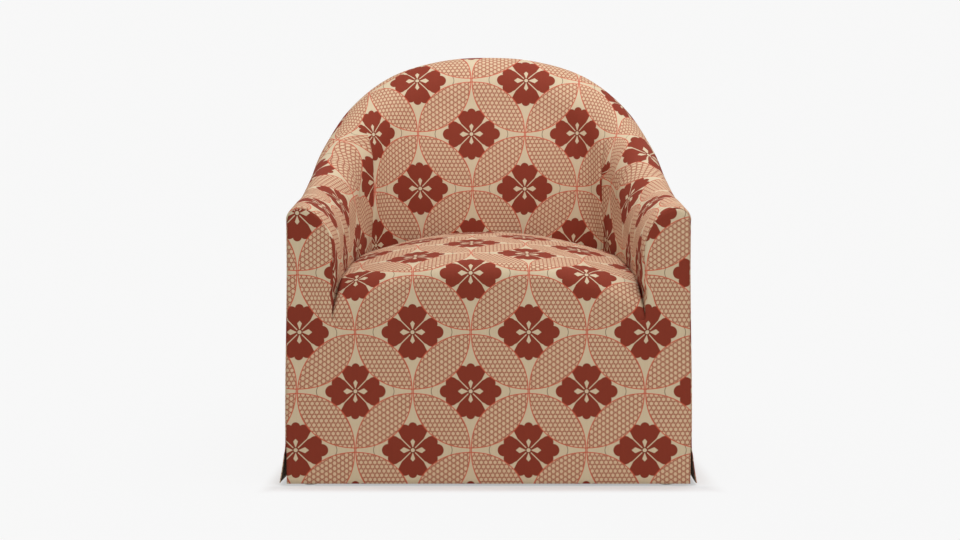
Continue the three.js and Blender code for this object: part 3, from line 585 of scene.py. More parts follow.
class Finish(Nodes):
    """One procedural material and its nodes."""

    def __init__(self, name, **constants):
        self.material = bpy.data.materials.new(name + "_finish")
        self.material.use_nodes = True
        super().__init__(self.material.node_tree)
        self.shader = self.node("ShaderNodeBsdfPrincipled", {}, **constants)
        self.plain = Signal(self, self.shader.outputs[0])
        self.output = self.node("ShaderNodeOutputMaterial", {}, self.plain)

    def blend(self, factor, first, second, mode="MIX"):
        """Mixes two colours."""
        node = self.node("ShaderNodeMix", {"data_type": "RGBA", "blend_type": mode})
        sockets = {socket.identifier: socket for socket in (*node.inputs, *node.outputs)}
        self.feed(sockets["Factor_Float"], factor)
        for name, colour in (("A_Color", first), ("B_Color", second)):
            self.feed(sockets[name], colour if isinstance(colour, Signal) else (*colour[:3], 1.0))
        return Signal(self, sockets["Result_Color"])

    def shaded(self, colour, low, high, factor):
        """A colour that runs from darker to lighter along a signal."""
        return self.blend(factor, [value * low for value in colour],
                          [min(value * high, 1.0) for value in colour])

    def grey(self, level):
        """A grey of a varying level."""
        return self.made("ShaderNodeCombineXYZ", {}, level, level, level)

    def speckle(self, scale, detail=2.0, stretch=None, roughness=0.5, cloth=False):
        """Noise over the object's own coordinates, or over the cloth's."""
        source = self.cloth_vector() if cloth else self.object_vector()
        if stretch:
            source = self.made("ShaderNodeMapping", {}, source, Scale=stretch)
        return self.made("ShaderNodeTexNoise", {"noise_dimensions": "3D"}, source, Scale=scale,
                         Detail=detail, Roughness=roughness)

    def object_vector(self):
        return Signal(self, self.node("ShaderNodeTexCoord", {}).outputs["Object"])

    def cloth_vector(self):
        return self.made("ShaderNodeUVMap", {"uv_map": UV_NAME})

    def cloth_place(self):
        """The two coordinates on the cloth, in millimetres."""
        return [value * 1000.0 for value in self.split(self.cloth_vector())[:2]]

    def split(self, vector):
        node = self.node("ShaderNodeSeparateXYZ", {}, vector)
        return [Signal(self, out) for out in node.outputs]

    def surface(self, colour, roughness, height, strength, depth):
        """Feeds the shader: colour, roughness, and a bump of a given depth in metres."""
        self.feed(self.shader.inputs["Base Color"], colour)
        self.feed(self.shader.inputs["Roughness"], roughness)
        self.feed(self.shader.inputs["Normal"],
                  self.made("ShaderNodeBump", {}, Strength=strength, Distance=depth, Height=height))
        return self.material


def weave_height(x, y):
    """A plain weave: threads rise over each other in turn. x and y are in millimetres."""
    turn = math.pi / THREAD
    return abs((x * turn).sine() * (y * turn).sine())


def printed_cloth(prints):
    """Interlocking rings with a flower diamond in each, and a fine trellis where they overlap."""
    finish = Finish("printed_cloth", Specular_IOR_Level=0.12)
    x, y = finish.cloth_place()
    across, up = prints.pitch_across * 1000, prints.pitch_up * 1000
    ring, line = prints.ring * 1000, prints.line * 1000

    # The nearest flower, and the place in the diamond round it. All sizes are in millimetres.
    a, b = x / across, y / up
    m, n = (a + b) * 0.5, (a - b) * 0.5
    m, n = m - m.nearest_whole(), n - n.nearest_whole()
    dx, dy = (m + n) * across, (m - n) * up
    ax, ay = abs(dx), abs(dy)
    square = 2.18  # the rings are a little squarer than circles
    gap_x, gap_y = (across - ax).most(0.001), (up - ay).most(0.001)
    reach = (gap_x ** square + gap_y ** square) ** (1 / square)
    own = (ax.most(0.001) ** square + ay.most(0.001) ** square) ** (1 / square)
    in_lens = 1 - reach.above(ring, 0.3)
    on_ring = 1 - abs(reach - ring).least(abs(own - ring)).above(line, 0.35)

    # Trellis of three sets of lines, turned in every other lens.
    side_x, side_y = dx.sign(), dy.sign()
    turned = (0 - side_x * side_y).above(0.0, 0.01)
    lx, ly = dx - side_x * (across / 2), dy - side_y * (up / 2)
    row, column, turned_row, turned_column = 8.6, 9.1, 7.9, 11.0
    first = mix(ly * (1 / row), lx * (1 / turned_row), turned)
    second = mix(lx * (1 / column), ly * (1 / turned_column), turned)
    lines = [first, second - first * 0.5, second + first * 0.5]
    offs = [abs(value - value.nearest_whole()) for value in lines]
    furthest = offs[0].most(offs[1]).most(offs[2])
    on_trellis = furthest.above(0.452, 0.032)
    off_dot = furthest.above(0.375, 0.055)
    # Small dark triangles where the lines meet.
    least = offs[0].least(offs[1]).least(offs[2])
    meeting = (furthest + offs[0] + offs[1] + offs[2] - least).above(1.36, 0.08)

    # The flower: four petals with three lobes each, slim gaps, lozenges and a disc. It is a
    # little wider than high, so each size is mixed from one for its upright half and one for its
    # sideways half.
    sideways = (ax - ay).above(0.0, 0.05)
    major, minor = ax.most(ay), ax.least(ay)
    middle_lobe = mix(8.8, 12.6, sideways) - (minor ** 2.0
                                              + (major - mix(47.2, 48.7, sideways)) ** 2.0) ** 0.5
    side_lobe = mix(11.4, 12.0, sideways) - ((minor - mix(15.8, 16.5, sideways)) ** 2.0
                                             + (major - mix(40.2, 37.5, sideways)) ** 2.0) ** 0.5
    flank = (major + 0.6).least(major * 0.5 + 10.2) - minor
    petals = flank.least(43.0 - major).most(side_lobe).most(middle_lobe)
    radius = (ax * ax + ay * ay) ** 0.5
    petals = petals.least((major - minor - 1.4).most(6.6 - radius))
    lozenge = mix(major * 0.36 - 1.7, major * 0.46 - 2.3, sideways)
    lozenge = lozenge.least(mix(19.4 - major * 0.85, 20.2 - major * 0.8, sideways)) - minor
    lozenge = lozenge.least(major - 5.8)
    bare = lozenge.above(0.0, 0.3).most(1 - radius.above(3.9, 0.3))
    rim = 1 - abs(radius - 4.4).above(0.45, 0.2)
    flower = petals.above(0.0, 0.3) * (1 - bare) * (1 - in_lens)

    # Short arcs beside the flower, in the tips of the diamond.
    hook = abs(((ax - 61.0) ** 2.0 + ay ** 2.0) ** 0.5 - 17.0)
    hook = (1 - hook.above(0.55, 0.3)) * ax.above(68.0, 0.5) * (1 - in_lens)

    # Uneven dye and fibres.
    mottle = finish.speckle(3.0, 3.0)
    fibre = finish.speckle(900.0, 2.0, cloth=True)
    slub = finish.speckle(240.0, 2.0, stretch=(1.0, 0.08, 1.0), cloth=True)
    lens = finish.blend(off_dot, prints.dot, prints.blush)
    lens = finish.blend(on_trellis * 0.85, lens, prints.trellis)
    lens = finish.blend(meeting * 0.5, lens, prints.umber)
    colour = finish.blend(in_lens, prints.ground, lens)
    colour = finish.blend(hook, colour, prints.umber)
    colour = finish.blend(flower, colour, prints.madder)
    colour = finish.blend(rim * 0.8, colour, prints.umber)
    colour = finish.blend(on_ring * 0.9, colour, prints.ring_red)
    shade = (mottle - 0.5) * 0.10 + (fibre - 0.5) * 0.16 + (slub - 0.5) * 0.10 + 1.0
    colour = finish.blend(1.0, colour, finish.grey(shade), "MULTIPLY")
    height = weave_height(x, y) * 0.6 + fibre * 0.3 + slub * 0.3
    return finish.surface(colour, 0.9 - fibre * 0.12, height, 0.35, 0.0004)


def reverse_cloth(prints):
    finish = Finish("reverse_cloth", Specular_IOR_Level=0.12)
    x, y = finish.cloth_place()
    fibre = finish.speckle(700.0, 2.0)
    colour = finish.shaded(prints.reverse, 0.82, 1.0, fibre)
    height = weave_height(x, y) + fibre * 0.4
    return finish.surface(colour, 0.92, height, 0.3, 0.0004)


def timber_finish(colours):
    finish = Finish("timber", Specular_IOR_Level=0.35)
    x, y, z = finish.split(finish.object_vector())
    wander = finish.speckle(5.0, 3.0)
    rings = ((x + y) * 190.0 + z * 12.0 + wander * 9.0).sine() * 0.5 + 0.5
    pores = finish.speckle(420.0, 3.0, stretch=(1.0, 1.0, 0.06))
    tone = rings * 0.55 + pores * 0.45
    colour = finish.shaded(colours.timber, 0.72, 1.12, tone)
    return finish.surface(colour, 0.55 + pores * 0.2, tone, 0.25, 0.0006)


def board_finish(colours):
    finish = Finish("board", Specular_IOR_Level=0.3)
    fibres = finish.speckle(160.0, 6.0, roughness=0.75)
    flecks = finish.speckle(45.0, 4.0, stretch=(1.0, 1.0, 2.5))
    tone = fibres * 0.6 + flecks * 0.4
    colour = finish.shaded(colours.board, 0.78, 1.18, tone)
    return finish.surface(colour, 0.82 + fibres * 0.1, tone, 0.3, 0.0005)


def steel_finish(colours):
    finish = Finish("steel", Metallic=1.0)
    drawn = finish.speckle(260.0, 3.0, stretch=(1.0, 0.2, 1.0))
    stain = finish.speckle(18.0, 4.0)
    colour = finish.shaded(colours.steel, 0.8, 1.1, stain)
    return finish.surface(colour, 0.26 + drawn * 0.18, drawn, 0.15, 0.0002)


def nylon_finish(colours):
    finish = Finish("nylon", Specular_IOR_Level=0.5)
    scuff = finish.speckle(120.0, 4.0)
    colour = finish.shaded(colours.nylon, 0.88, 1.04, scuff)
    return finish.surface(colour, 0.35 + scuff * 0.25, scuff, 0.15, 0.0002)


def foam_finish(colours):
    finish = Finish("foam", Specular_IOR_Level=0.2)
    cells = finish.made("ShaderNodeTexVoronoi", {"feature": "F1"}, finish.object_vector(),
                        Scale=420.0)
    patch = finish.speckle(6.0, 3.0)
    tone = cells * 0.5 + patch * 0.5
    colour = finish.shaded(colours.foam, 0.84, 1.05, tone)
    return finish.surface(colour, 0.9, cells, 0.5, 0.0008)


def webbing_finish(colours):
    finish = Finish("webbing", Specular_IOR_Level=0.25)
    x, y, z = finish.split(finish.object_vector())
    ribs = ((x + y) * 1600.0).sine() * 0.5 + 0.5
    picks = (z * 2400.0).sine() * 0.5 + 0.5
    tone = ribs * 0.6 + picks * 0.4
    colour = finish.shaded(colours.webbing, 0.7, 1.25, tone)
    return finish.surface(colour, 0.85, tone, 0.4, 0.0005)


def felt_finish(colours):
    finish = Finish("felt", Sheen_Weight=0.15)
    wool = finish.speckle(300.0, 6.0, roughness=0.8)
    tufts = finish.speckle(40.0, 4.0)
    tone = wool * 0.6 + tufts * 0.4
    colour = finish.shaded(colours.felt, 0.7, 1.2, tone)
    return finish.surface(colour, 0.95, tone, 0.5, 0.0012)


def black_cloth_finish(colours):
    finish = Finish("black_cloth", Specular_IOR_Level=0.25)
    x, y = finish.split(finish.object_vector())[:2]
    dimples = (x * 2100.0).sine() * (y * 2100.0).sine() * 0.5 + 0.5
    fibre = finish.speckle(500.0, 4.0)
    tone = dimples * 0.5 + fibre * 0.5
    colour = finish.shaded(colours.black_cloth, 0.7, 1.4, tone)
    return finish.surface(colour, 0.88, tone, 0.35, 0.0004)


def floor_finish(colours):
    """A pale floor that shows as a plain backdrop but keeps the chair's shadow."""
    finish = Finish("studio_floor", Base_Color=(*colours.floor, 1.0), Roughness=1.0,
                    Specular_IOR_Level=0.0)
    x, y = finish.split(finish.object_vector())[:2]
    # How brightly the lamps light the floor, and how bright it should look.
    pool = 1 + ((x - 0.28) ** 2.0 + (y + 0.55) ** 2.0) * 0.25
    lit = 0.55 + 0.43 / (pool * pool)
    backdrop = 0.935
    # Most of the glow starts two fingers away from the hem, so that only the contact is dark.
    # The hem is straight in front, and the rest of it is nearly a superellipse.
    middle, widest, wide, run, square = 0.006, 0.03, 0.387, 0.3685, 2.6
    half = wide + (widest - y).most(0.0) * 0.064
    behind = (y - widest).most(0.0) / run
    beside = (((abs(x - middle) / half) ** square + behind ** square) ** (1 / square) - 1) * wide
    ahead = cad_low.y - y
    near_hem = mix(0.5, 0.06, ahead.above(0.002, 0.006))
    share = mix(near_hem, 0.96, beside.above(0.026, 0.02).most(ahead.above(0.052, 0.028)))
    level = (backdrop - (1 - share) * lit) / share
    glow = finish.made("ShaderNodeEmission", {}, finish.grey(level), 1.0)
    mixed = finish.made("ShaderNodeMixShader", {}, finish.seen() * share, finish.plain, glow)
    finish.feed(finish.output.inputs["Surface"], mixed)
    return finish.material


def material(name, make, colours):
    """The finish of that name, made once. The frame's own materials have other names."""
    return bpy.data.materials.get(name + "_finish") or make(colours)


# Where the print lies

PRINT_ORIGIN = Vector((-0.0355, 0.1905))
WALL_ORIGIN = Vector((-0.036, 0.2196))


def shifted(x, y, origin):
    return (x - origin.x, y - origin.y)


class InsideCloth:
    """Where the print lies on the inside cover. It follows the cloth round the back, and a dart
    between the back and each arm takes up more of the cloth towards the seat."""

    # How far round the print is on the arms, at two heights over the seat, for distances round
    # the inside.
    LOW_ROUND = ((0.28, 0.384), (0.34, 0.424), (0.42, 0.459), (0.50, 0.493), (0.5515, 0.528),
                 (0.6275, 0.603), (0.70, 0.718), (0.779, 0.8396), (0.92, 0.985))
    HIGH_ROUND = ((0.28, 0.345), (0.3236, 0.3804), (0.3996, 0.412), (0.509, 0.480),
                  (0.6275, 0.598), (0.70, 0.715), (0.779, 0.8396), (0.92, 0.985))
    LOW, HIGH = 0.11, 0.235
    UP_SCALE = 0.961  # the print is drawn out a little up the wall
    ARM_LIFT = 0.017  # and lies this much higher on the arms
    # Where the fold of each dart ends, on the left and on the right.
    DART_TOPS = {-1: (0.20, 0.26), 1: (0.120, 0.152)}

    def __init__(self, shell, stops, columns):
        self.stops = stops
        self.crease = shell.along(shell.CREASE_PLACE)
        rows = len(columns[0])
        middle = stops.index(0.0)
        # The way round from the middle of the back, by columns and rows of the grid.
        self.round = {middle: [0.0] * rows}
        for step in (1, -1):
            i = middle
            while 0 <= i + step < len(stops):
                past, here = columns[i], columns[i + step]
                self.round[i + step] = [
                    self.round[i][j] + (here[j][0] - past[j][0]).xy.length for j in range(rows)]
                i += step
        self.fold = min(range(len(stops)), key=lambda k: abs(abs(stops[k]) - self.crease))

    def on_back(self, side, i, j, up):
        """How far round the print is on the back, a little tighter high up than by the seat."""
        slack = 1 - 0.055 * ease(0.06, 0.36, up) + 0.035 * (1 - ease(-0.03, 0.08, up))
        shift = 0.0024 * (1 - ease(0.10, 0.20, up))
        return WALL_ORIGIN.x + (side * self.round[i][j] - WALL_ORIGIN.x) * slack - shift

    def on_arm(self, distance, up):
        """How far round the print is on the arms."""
        return mix(follow(self.LOW_ROUND, distance), follow(self.HIGH_ROUND, distance),
                   ease(self.LOW, self.HIGH, up))

    def spot(self, side, i, j, up, is_arm):
        """The place on the print of a point of the grid, which is up over the seat."""
        x = self.on_back(side, i, j, up)
        height = WALL_ORIGIN.y + (up - WALL_ORIGIN.y) * self.UP_SCALE
        if is_arm:
            # The two sides of the fold show different places, and meet over the dart's top.
            far = abs(self.stops[i])
            loose = ease(*self.DART_TOPS[side], up)
            step = self.on_arm(self.crease, up) - abs(self.on_back(side, self.fold, j, up))
            near_fold = 1 - ease(0.0, 0.09, far - self.crease)
            x = side * (self.on_arm(far, up) - step * loose * near_fold)
            height -= self.ARM_LIFT * mix(1, ease(0.0, 0.06, far - self.crease), loose)
        return shifted(x, height, WALL_ORIGIN)


# The tips, where the seat parts from the arm fronts: how far off the middle they are, and how far
# the cloth by them is pulled out at some heights. Each row has a height, a reach and a distance.
TIP_ACROSS, TIP_REACH = 0.3026, 0.035
TUGS = ((0.333, 0.036, 0.0064), (0.415, 0.030, -0.0022))
ARM_TUGS = (*TUGS, (0.386, 0.021, 0.0085))


def bell(value, reach):
    return math.exp(-(value / reach) ** 2)


def tugged(point, front, tugs=TUGS):
    """A point of the cloth by the tips, pulled out a little."""
    near = bell(abs(point.x) - TIP_ACROSS, TIP_REACH) * (1 - ease(0.0, 0.09, point.y - front))
    out = sum(distance * bell(point.z - height, reach) for height, reach, distance in tugs)
    return Vector((point.x + math.copysign(out * near, point.x), point.y, point.z))


class SEW_OT_inside_cover(Operator):
    """Sews the cover of the inner back and arms, with a fold between the back and each arm"""
    bl_idname = "tub_chair.sew_inside_cover"
    bl_label = "Sew inside cover"

    ROWS = 60
    STEP = 0.0085  # between the columns
    BY_FOLD = (0.012, 0.006, 0.0025, 0.0, -0.0025, -0.006)  # columns by each fold
    FOLD_WIDTH, HOLLOW_WIDTH = 0.005, 0.035
    SINK = 0.052  # the foot at the arm fronts goes down to the tips

    def stops(self, shell, crease):
        """Distances round the inside, one for each column of the grid."""
        def fill(a, b, count=None):
            count = count or max(round(abs(b - a) / self.STEP), 2)
            return [mix(a, b, k / count) for k in range(count)]

        end = shell.along(shell.place_behind(shell.COVER_START))
        edge = shell.along(shell.place_behind(shell.sizes.edge_radius))
        near = self.BY_FOLD[0]
        half = (fill(end, edge, 5) + fill(edge, crease + near)
                + [crease + off for off in self.BY_FOLD] + fill(crease - near, 0.0))
        return half + [0.0] + [-value for value in reversed(half)]

    def execute(self, context):
        sizes = context.scene.tub_chair_sizes
        shell = Shell(sizes)
        crease = shell.along(shell.CREASE_PLACE)
        stops = self.stops(shell, crease)
        columns = [shell.column(shell.place_at(abs(stop)), self.ROWS) for stop in stops]
        cloth = InsideCloth(shell, stops, columns)

        def place(i, j):
            point, up = columns[i][j]
            distance = abs(stops[i])
            in_x, in_y = shell.outline(shell.place_at(distance))[2:]
            side = 1 if stops[i] > 0 else -1
            off = distance - crease
            fold = sizes.crease * (1 - ease(0.15, 0.26, up)) * ease(-0.04, 0.05, up)
            push = fold * (math.exp(-abs(off) / self.FOLD_WIDTH)
                           - 0.35 * bell(off, self.HOLLOW_WIDTH))
            sink = ease(0.6, 1.0, j / self.ROWS) * (1 - ease(0.0, 0.07, point.y - shell.front))
            co = tugged(point - Vector((0, 0, self.SINK * sink)), shell.front, ARM_TUGS)
            co.x = side * (co.x - in_x * push)
            co.y -= in_y * push
            if abs(off) < 1e-6:
                arm = cloth.spot(side, i, j, up, True)
                back = cloth.spot(side, i, j, up, False)
                # Faces on the far side of the column have higher numbers.
                return (co, arm, back) if side > 0 else (co, back, arm)
            return co, cloth.spot(side, i, j, up, distance > crease)

        mesh = bmesh.new()
        cloth_grid(mesh, len(stops) - 1, self.ROWS, place)
        face_away(mesh, lambda face: face.normal.z * face.calc_area())
        sew_cover("inside_cover_cloth", mesh, context.scene, "inside_cover")
        return {"FINISHED"}


class SEW_OT_seat_and_front(Operator):
    """Sews the cover of the seat, the front panel and the two arm fronts"""
    bl_idname = "tub_chair.sew_seat_and_front"
    bl_label = "Sew seat and front cover"

    # Counts of the grids: across the front, up to the tips, over the seat, across half an arm
    # front, up its sides and round its top.
    ACROSS, LOW, OVER, HALF_STRIP, RISE, ROUND = 84, 36, 96, 8, 24, 64
    SHOULDER = 0.495  # height at which the tops of the arm fronts begin
    UNEVEN = (0.09, 0.0012)  # width and height of the seat's unevenness

    def execute(self, context):
        sizes = context.scene.tub_chair_sizes
        shell = Shell(sizes)
        seat = Seat(shell)
        hem, tip = sizes.hem_height, seat.tip_height()
        half = seat.half_width(shell.front)
        mesh = bmesh.new()

        def lies(x, up):
            """The place on the print, which is shifted a little towards the tip on the left."""
            pulled = mix(0.25, 1, ease(0.10, 0.30, up)) * (1 - 0.6 * ease(0.34, 0.42, up))
            return shifted(x - 0.0085 * ease(0.22, 0.34, -x) * pulled, up, PRINT_ORIGIN)

        def flat(x, z, tugs=TUGS):
            wide_by = math.copysign(shell.splay(z) * ease(0.28, 0.39, abs(x)), x)
            return tugged(Vector((x + wide_by, shell.front, z)), shell.front, tugs), lies(x, z)

        def lower(i, j):
            return flat(mix(-half, half, i / self.ACROSS), mix(hem, tip, j / self.LOW))

        columns = [seat.column(mix(-1, 1, i / self.ACROSS), self.OVER)
                   for i in range(self.ACROSS + 1)]

        def upper(i, j):
            point, run = columns[i][j]
            x = mix(mix(-half, half, i / self.ACROSS), point.x, 0.5)
            return tugged(point, shell.front), lies(x, tip + run)

        cloth_grid(mesh, self.ACROSS, self.LOW, lower)
        cloth_grid(mesh, self.ACROSS, self.OVER, upper)
        self.arm_fronts(mesh, shell, flat, half, hem, tip)
        bmesh.ops.remove_doubles(mesh, verts=mesh.verts[:], dist=0.00005)
        for vert in mesh.verts:
            if vert.co.y > shell.front + 0.02:
                vert.co.z += ripple(vert.co, *self.UNEVEN)
        face_away(mesh, lambda face: (face.normal.z - face.normal.y) * face.calc_area())
        sew_cover("seat_and_front_cloth", mesh, context.scene, "seat_and_front_cover")
        return {"FINISHED"}

    def arm_fronts(self, mesh, shell, flat, half, hem, tip):
        """Each arm front is a strip beside the panel, and a fan of cloth round its top."""
        section = [shell.section(shell.place_behind(0.003), 3.0 * k / 240) for k in range(241)]
        outer, strip, shoulder = section[0].x, self.HALF_STRIP, self.SHOULDER
        spine = (outer + half) / 2
        top = [Vector((p.x, shell.front, p.z)) for p in section if p.z > shoulder]
        inner = [Vector((p.x, shell.front, p.z)) for p in section if p.z <= shoulder]
        join = inner[0].lerp(top[-1], (shoulder - inner[0].z) / (top[-1].z - inner[0].z))
        top = spaced([Vector((outer, shell.front, shoulder))] + top + [join], self.ROUND)
        inner = spaced([Vector((half, shell.front, tip))] + inner[::-1] + [join], self.RISE)

        def split(left, right, i):
            if i <= strip:
                return mix(left, spine, i / strip)
            return mix(spine, right, i / strip - 1)

        def lower(i, j):
            return split(half, outer, i), mix(hem, tip, j / self.LOW)

        def middle(i, j):
            edge = inner[j][0]
            x = split(edge.x, outer, i)
            if j in (0, self.RISE):
                return x, edge.z
            # The rows between meet in one point, which is as high as it is off the middle.
            return x, split(edge.z, mix(tip, shoulder, j / self.RISE), i)

        def upper(i, j):
            at = top[i][0].lerp(Vector((spine, shell.front, shoulder)), j / strip)
            return at.x, at.z

        for side in (1, -1):
            for columns, rows, shape in ((2 * strip, self.LOW, lower),
                                         (2 * strip, self.RISE, middle),
                                         (self.ROUND, strip, upper)):
                def place(i, j):
                    x, z = shape(i, j)
                    return flat(side * x, z, ARM_TUGS)

                piece = bmesh.new()
                cloth_grid(piece, columns, rows, place)
                bmesh.ops.remove_doubles(piece, verts=piece.verts[:], dist=0.00002)
                for face in piece.faces:
                    face.normal_update()
                    if face.normal.y > 0:
                        face.normal_flip()
                data = bpy.data.meshes.new("part")
                piece.to_mesh(data)
                piece.free()
                mesh.from_mesh(data)
                bpy.data.meshes.remove(data)


class SEW_OT_outer_covers(Operator):
    """Sews the outer covers of the arms and the back, with a flared skirt open at its corners"""
    bl_idname = "tub_chair.sew_outer_covers"
    bl_label = "Sew outer covers"

    STEP = 0.011  # between the columns
    ROWS, SKIRT_ROWS = 52, 14
    GAP = 0.0004  # to the next cover
    OPENING = 0.005  # how far the skirt draws back at each side of a slit
    SWING = 0.0012  # how far the skirt swings in and out
    OFF_WALL = 0.0002

    def execute(self, context):
        shell = Shell(context.scene.tub_chair_sizes)
        first, seam = shell.place_behind(shell.COVER_START), shell.SEAM_PLACE
        for name, node, rest, height, start, end in (
                ("outer_arm_cloth_right", "outer_arm_cover_right", "arm_liner_right", 0.62,
                 first, seam),
                ("outer_back_cloth", "outer_back_cover", "back_liner", 0.78, seam, 2 - seam),
                ("outer_arm_cloth_left", "outer_arm_cover_left", "arm_liner_left", 0.62,
                 2 - seam, 2 - first)):
            mesh, width = self.cover(shell, start, end)
            sew_cover(name, mesh, context.scene, node)
        return {"FINISHED"}

    def cover(self, shell, start, end):
        """A sheet between two places, and its width."""
        places = [mix(start, end, k / 160) for k in range(161)]
        wall = [shell.outer_wall(place, 0.3) for place in places]
        run = [0.0]
        for a, b in zip(wall, wall[1:]):
            run.append(run[-1] + math.hypot(b.x - a.x, b.y - a.y))
        width = run[-1]
        last = max(round(width / self.STEP), 8)
        stops = [(mix(places[k], places[k + 1], share), goal)
                 for k, share, goal in steps_along(run, last)]
        hem = shell.sizes.hem_height
        skirt = hem + shell.sizes.slit_height

        def place_on(i, j):
            place, distance = stops[i]
            folded = min(place, 2 - place)
            top = shell.crest(folded) - shell.roll(folded)[1] - self.GAP
            if j <= self.SKIRT_ROWS:
                height = mix(hem, skirt, j / self.SKIRT_ROWS)
            else:
                height = mix(skirt, top, (j - self.SKIRT_ROWS) / (self.ROWS - self.SKIRT_ROWS))
            point = shell.outer_wall(place, height)
            below = shell.below_slit(height)
            swing = self.SWING * math.sin(distance * 31.0 + 1.3) * below + self.OFF_WALL
            in_x, in_y = shell.outline(folded)[2:]
            point.x += math.copysign(in_x, place - 1) * swing
            point.y += in_y * swing
            beside = {0: 1, last: last - 1}.get(i)
            if beside is not None:
                inwards = shell.outer_wall(stops[beside][0], height) - point
                point += inwards.normalized() * (self.GAP + self.OPENING * below)
            return point, shifted(distance - width / 2, height, PRINT_ORIGIN)

        mesh = bmesh.new()
        cloth_grid(mesh, last, self.ROWS, place_on)
        centre = Vector((0, 0.02, 0))
        face_away(mesh, lambda face: (face.calc_center_median() - centre).xy.dot(
            face.normal.xy) * face.calc_area())
        return mesh, width


def softened_copy(node, name, width, segments, finish, shrink=0.0, levels=(), pull=None):
    """A merged copy of a frame node with rounded edges, drawn in by a small depth. It gets
    more points at the levels, and pull moves each of its points."""
    mesh = bmesh.new()
    mesh.from_mesh(frame["nodes"][node].data)
    bmesh.ops.remove_doubles(mesh, verts=mesh.verts[:], dist=0.00001)
    bmesh.ops.dissolve_limit(mesh, angle_limit=math.radians(1.0), verts=mesh.verts[:],
                             edges=mesh.edges[:])
    sharp = [edge for edge in mesh.edges
             if len(edge.link_faces) == 2 and edge.calc_face_angle() > math.radians(40)]
    bmesh.ops.bevel(mesh, geom=sharp, offset=width, offset_type="OFFSET", segments=segments,
                    profile=0.5, affect="EDGES", clamp_overlap=True, material=-1)
    for level in levels:
        bmesh.ops.bisect_plane(mesh, geom=mesh.verts[:] + mesh.edges[:] + mesh.faces[:],
                               plane_co=(0, 0, level), plane_no=(0, 0, 1))
    bmesh.ops.triangulate(mesh, faces=[face for face in mesh.faces if len(face.verts) > 4])
    mesh.normal_update()
    for vert in mesh.verts:
        vert.co -= vert.normal * shrink
        if pull:
            vert.co = pull(vert.co)
    return add_piece(name, mesh, [finish])


class STUFF_OT_upholstery(Operator):
    """Puts in the foams, the spring pad, the back straps and the dust cover"""
    bl_idname = "tub_chair.stuff_upholstery"
    bl_label = "Put in upholstery"

    # Heights at which the arm foams get points, by the tips.
    LEVELS = [0.342 + 0.007 * k for k in range(15)]
    GIVE = 1.25  # the arm foams give way by this share of the cloth's pull

    def execute(self, context):
        colours = context.scene.tub_chair_colours
        front = Shell(context.scene.tub_chair_sizes).front
        finishes = {"foam": material("foam", foam_finish, colours),
                    "felt": material("felt", felt_finish, colours)}

        def pull(point):
            return point + (tugged(point, front, ARM_TUGS) - point) * self.GIVE

        plain = {"shrink": 0.0015}
        arm = {"shrink": 0.0015, "levels": self.LEVELS, "pull": pull}
        for node, name, slot, fill, form in (
                ("arm_foam_right", "arm_foam_right_pad", "foam", 0.8, arm),
                ("arm_foam_left", "arm_foam_left_pad", "foam", 0.8, arm),
                ("back_foam", "back_foam_pad", "foam", 0.8, plain),
                ("seat_foam", "seat_foam_pad", "foam", 0.9, plain),
                ("spring_pad", "spring_pad_felt", "felt", 0.7, {})):
            piece = softened_copy(node, name, 0.0012, 2, finishes[slot], **form)
            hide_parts(node)

        webbing = material("webbing", webbing_finish, colours)
        for side in ("right", "middle", "left"):
            node = f"back_strap_{side}"
            piece = softened_copy(node, node + "_web", 0.0003, 1, webbing)
            low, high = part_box(node)
            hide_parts(node)
        dust = softened_copy("dust_cover", "dust_cover_cloth", 0.0003, 1,
                             material("black_cloth", black_cloth_finish, colours))
        low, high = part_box("dust_cover")
        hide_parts("dust_cover")
        return {"FINISHED"}


class FINISH_OT_frame(Operator):
    """Gives the rails, legs, liners, springs, clips and glides their finishes"""
    bl_idname = "tub_chair.finish_frame"
    bl_label = "Finish frame"

    MAKERS = {"timber": timber_finish, "board": board_finish, "steel": steel_finish,
              "nylon": nylon_finish}

    def execute(self, context):
        colours = context.scene.tub_chair_colours
        for part in frame["record"]["subparts"]:
            slot = part["material_slot"]
            if slot in self.MAKERS:
                finish = material(slot, self.MAKERS[slot], colours)
                materials = frame["nodes"][part["node"]].data.materials
                if not materials:
                    materials.append(finish)
                for k in range(len(materials)):
                    materials[k] = finish
        return {"FINISHED"}


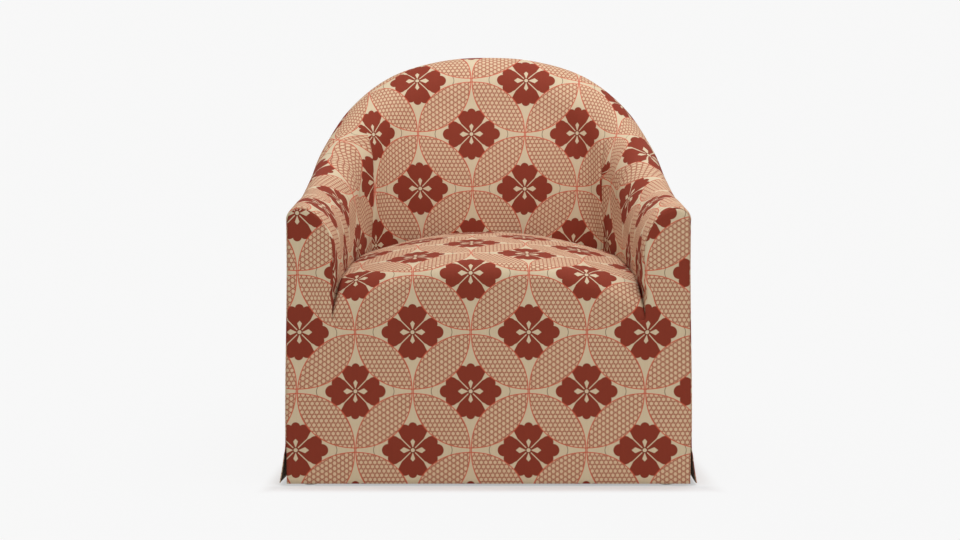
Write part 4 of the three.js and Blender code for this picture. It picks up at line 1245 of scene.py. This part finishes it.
class SET_OT_stage(Operator):
    """Sets the floor, the lights and the camera"""
    bl_idname = "tub_chair.set_stage"
    bl_label = "Set stage"

    # The camera: its sensor in millimetres, its focal length and the image's width in pixels.
    SENSOR, FOCAL_PIXELS, IMAGE_PIXELS = 36, 2640, 960
    EYE, TILT = (-0.017, -5.5765, 0.9755), math.radians(84)
    FAR, FLOOR_SIZE = 4000, 1500
    # Each lamp: its name, place, aim, watts and colour.
    LAMPS = (("key", (0.25, -0.35, 2.0), (0, 0, 0.5), 16.3, (0.94, 1.0, 1.1)),
             ("fill", (0.35, -1.1, 1.9), (0, 0.1, 0.6), 6.3, (1, 1, 1)))
    LAMP_SIZE = 1.2
    # The light from all sides: its colour, its strength, and what the camera sees instead.
    AROUND, STRENGTH, BACKDROP = (1.0, 0.98, 0.95, 1), 0.65, (0.94, 0.94, 0.94, 1)

    def execute(self, context):
        scene = context.scene
        mesh = bmesh.new()
        bmesh.ops.create_grid(mesh, x_segments=1, y_segments=1, size=self.FLOOR_SIZE)
        data = bpy.data.meshes.new("studio_floor")
        mesh.to_mesh(data)
        mesh.free()
        data.materials.append(material("studio_floor", floor_finish, scene.tub_chair_colours))
        self.put(scene, "studio_floor", data)
        self.lights(scene)
        camera = bpy.data.cameras.new("camera")
        camera.sensor_width = self.SENSOR
        camera.lens = self.SENSOR * self.FOCAL_PIXELS / self.IMAGE_PIXELS
        camera.clip_end = self.FAR
        scene.camera = self.put(scene, "camera", camera, self.EYE, (self.TILT, 0, 0))
        scene.view_settings.view_transform = "Standard"
        return {"FINISHED"}

    def put(self, scene, name, data, place=(0, 0, 0), turn=(0, 0, 0)):
        thing = bpy.data.objects.new(name, data)
        thing.location = place
        thing.rotation_euler = turn
        scene.collection.objects.link(thing)
        return thing

    def lights(self, scene):
        for name, place, aim, watts, colour in self.LAMPS:
            area = bpy.data.lights.new(name, "AREA")
            area.energy = watts
            area.color = colour
            area.size = self.LAMP_SIZE
            way = Vector(aim) - Vector(place)
            self.put(scene, name, area, place, way.to_track_quat("-Z", "Y").to_euler())
        world = scene.world or bpy.data.worlds.new("studio")
        scene.world = world
        world.use_nodes = True
        nodes = Nodes(world.node_tree)
        light = nodes.made("ShaderNodeBackground", {}, self.AROUND, self.STRENGTH)
        backdrop = nodes.made("ShaderNodeBackground", {}, self.BACKDROP, 1.0)
        both = nodes.made("ShaderNodeMixShader", {}, nodes.seen(), light, backdrop)
        nodes.node("ShaderNodeOutputWorld", {}, both)


OPERATORS = (SET_OT_stage, SEW_OT_inside_cover, SEW_OT_seat_and_front, SEW_OT_outer_covers,
             STUFF_OT_upholstery, FINISH_OT_frame)
GROUPS = {"tub_chair_sizes": ChairSizes, "tub_chair_prints": PrintSizes,
          "tub_chair_colours": FrameColours}


class VIEW3D_PT_tub_chair(Panel):
    """Lists the steps that make the chair, and its sizes and colours"""
    bl_idname = "VIEW3D_PT_tub_chair"
    bl_label = "Tub chair"
    bl_space_type = "VIEW_3D"
    bl_region_type = "UI"
    bl_category = "Tub chair"

    def draw(self, context):
        for operator in OPERATORS:
            self.layout.operator(operator.bl_idname)
        for name, group in GROUPS.items():
            box = self.layout.box()
            for size in group.__annotations__:
                box.prop(getattr(context.scene, name), size)


CLASSES = (*GROUPS.values(), *OPERATORS, VIEW3D_PT_tub_chair)


def register():
    for item in CLASSES:
        bpy.utils.register_class(item)
    for name, group in GROUPS.items():
        setattr(bpy.types.Scene, name, PointerProperty(type=group))


def unregister():
    for name in GROUPS:
        delattr(bpy.types.Scene, name)
    for item in reversed(CLASSES):
        bpy.utils.unregister_class(item)


def main():
    register()
    bpy.ops.tub_chair.set_stage()
    bpy.ops.tub_chair.sew_inside_cover()
    bpy.ops.tub_chair.sew_seat_and_front()
    bpy.ops.tub_chair.sew_outer_covers()
    bpy.ops.tub_chair.stuff_upholstery()
    bpy.ops.tub_chair.finish_frame()


if __name__ == "__main__":
    main()
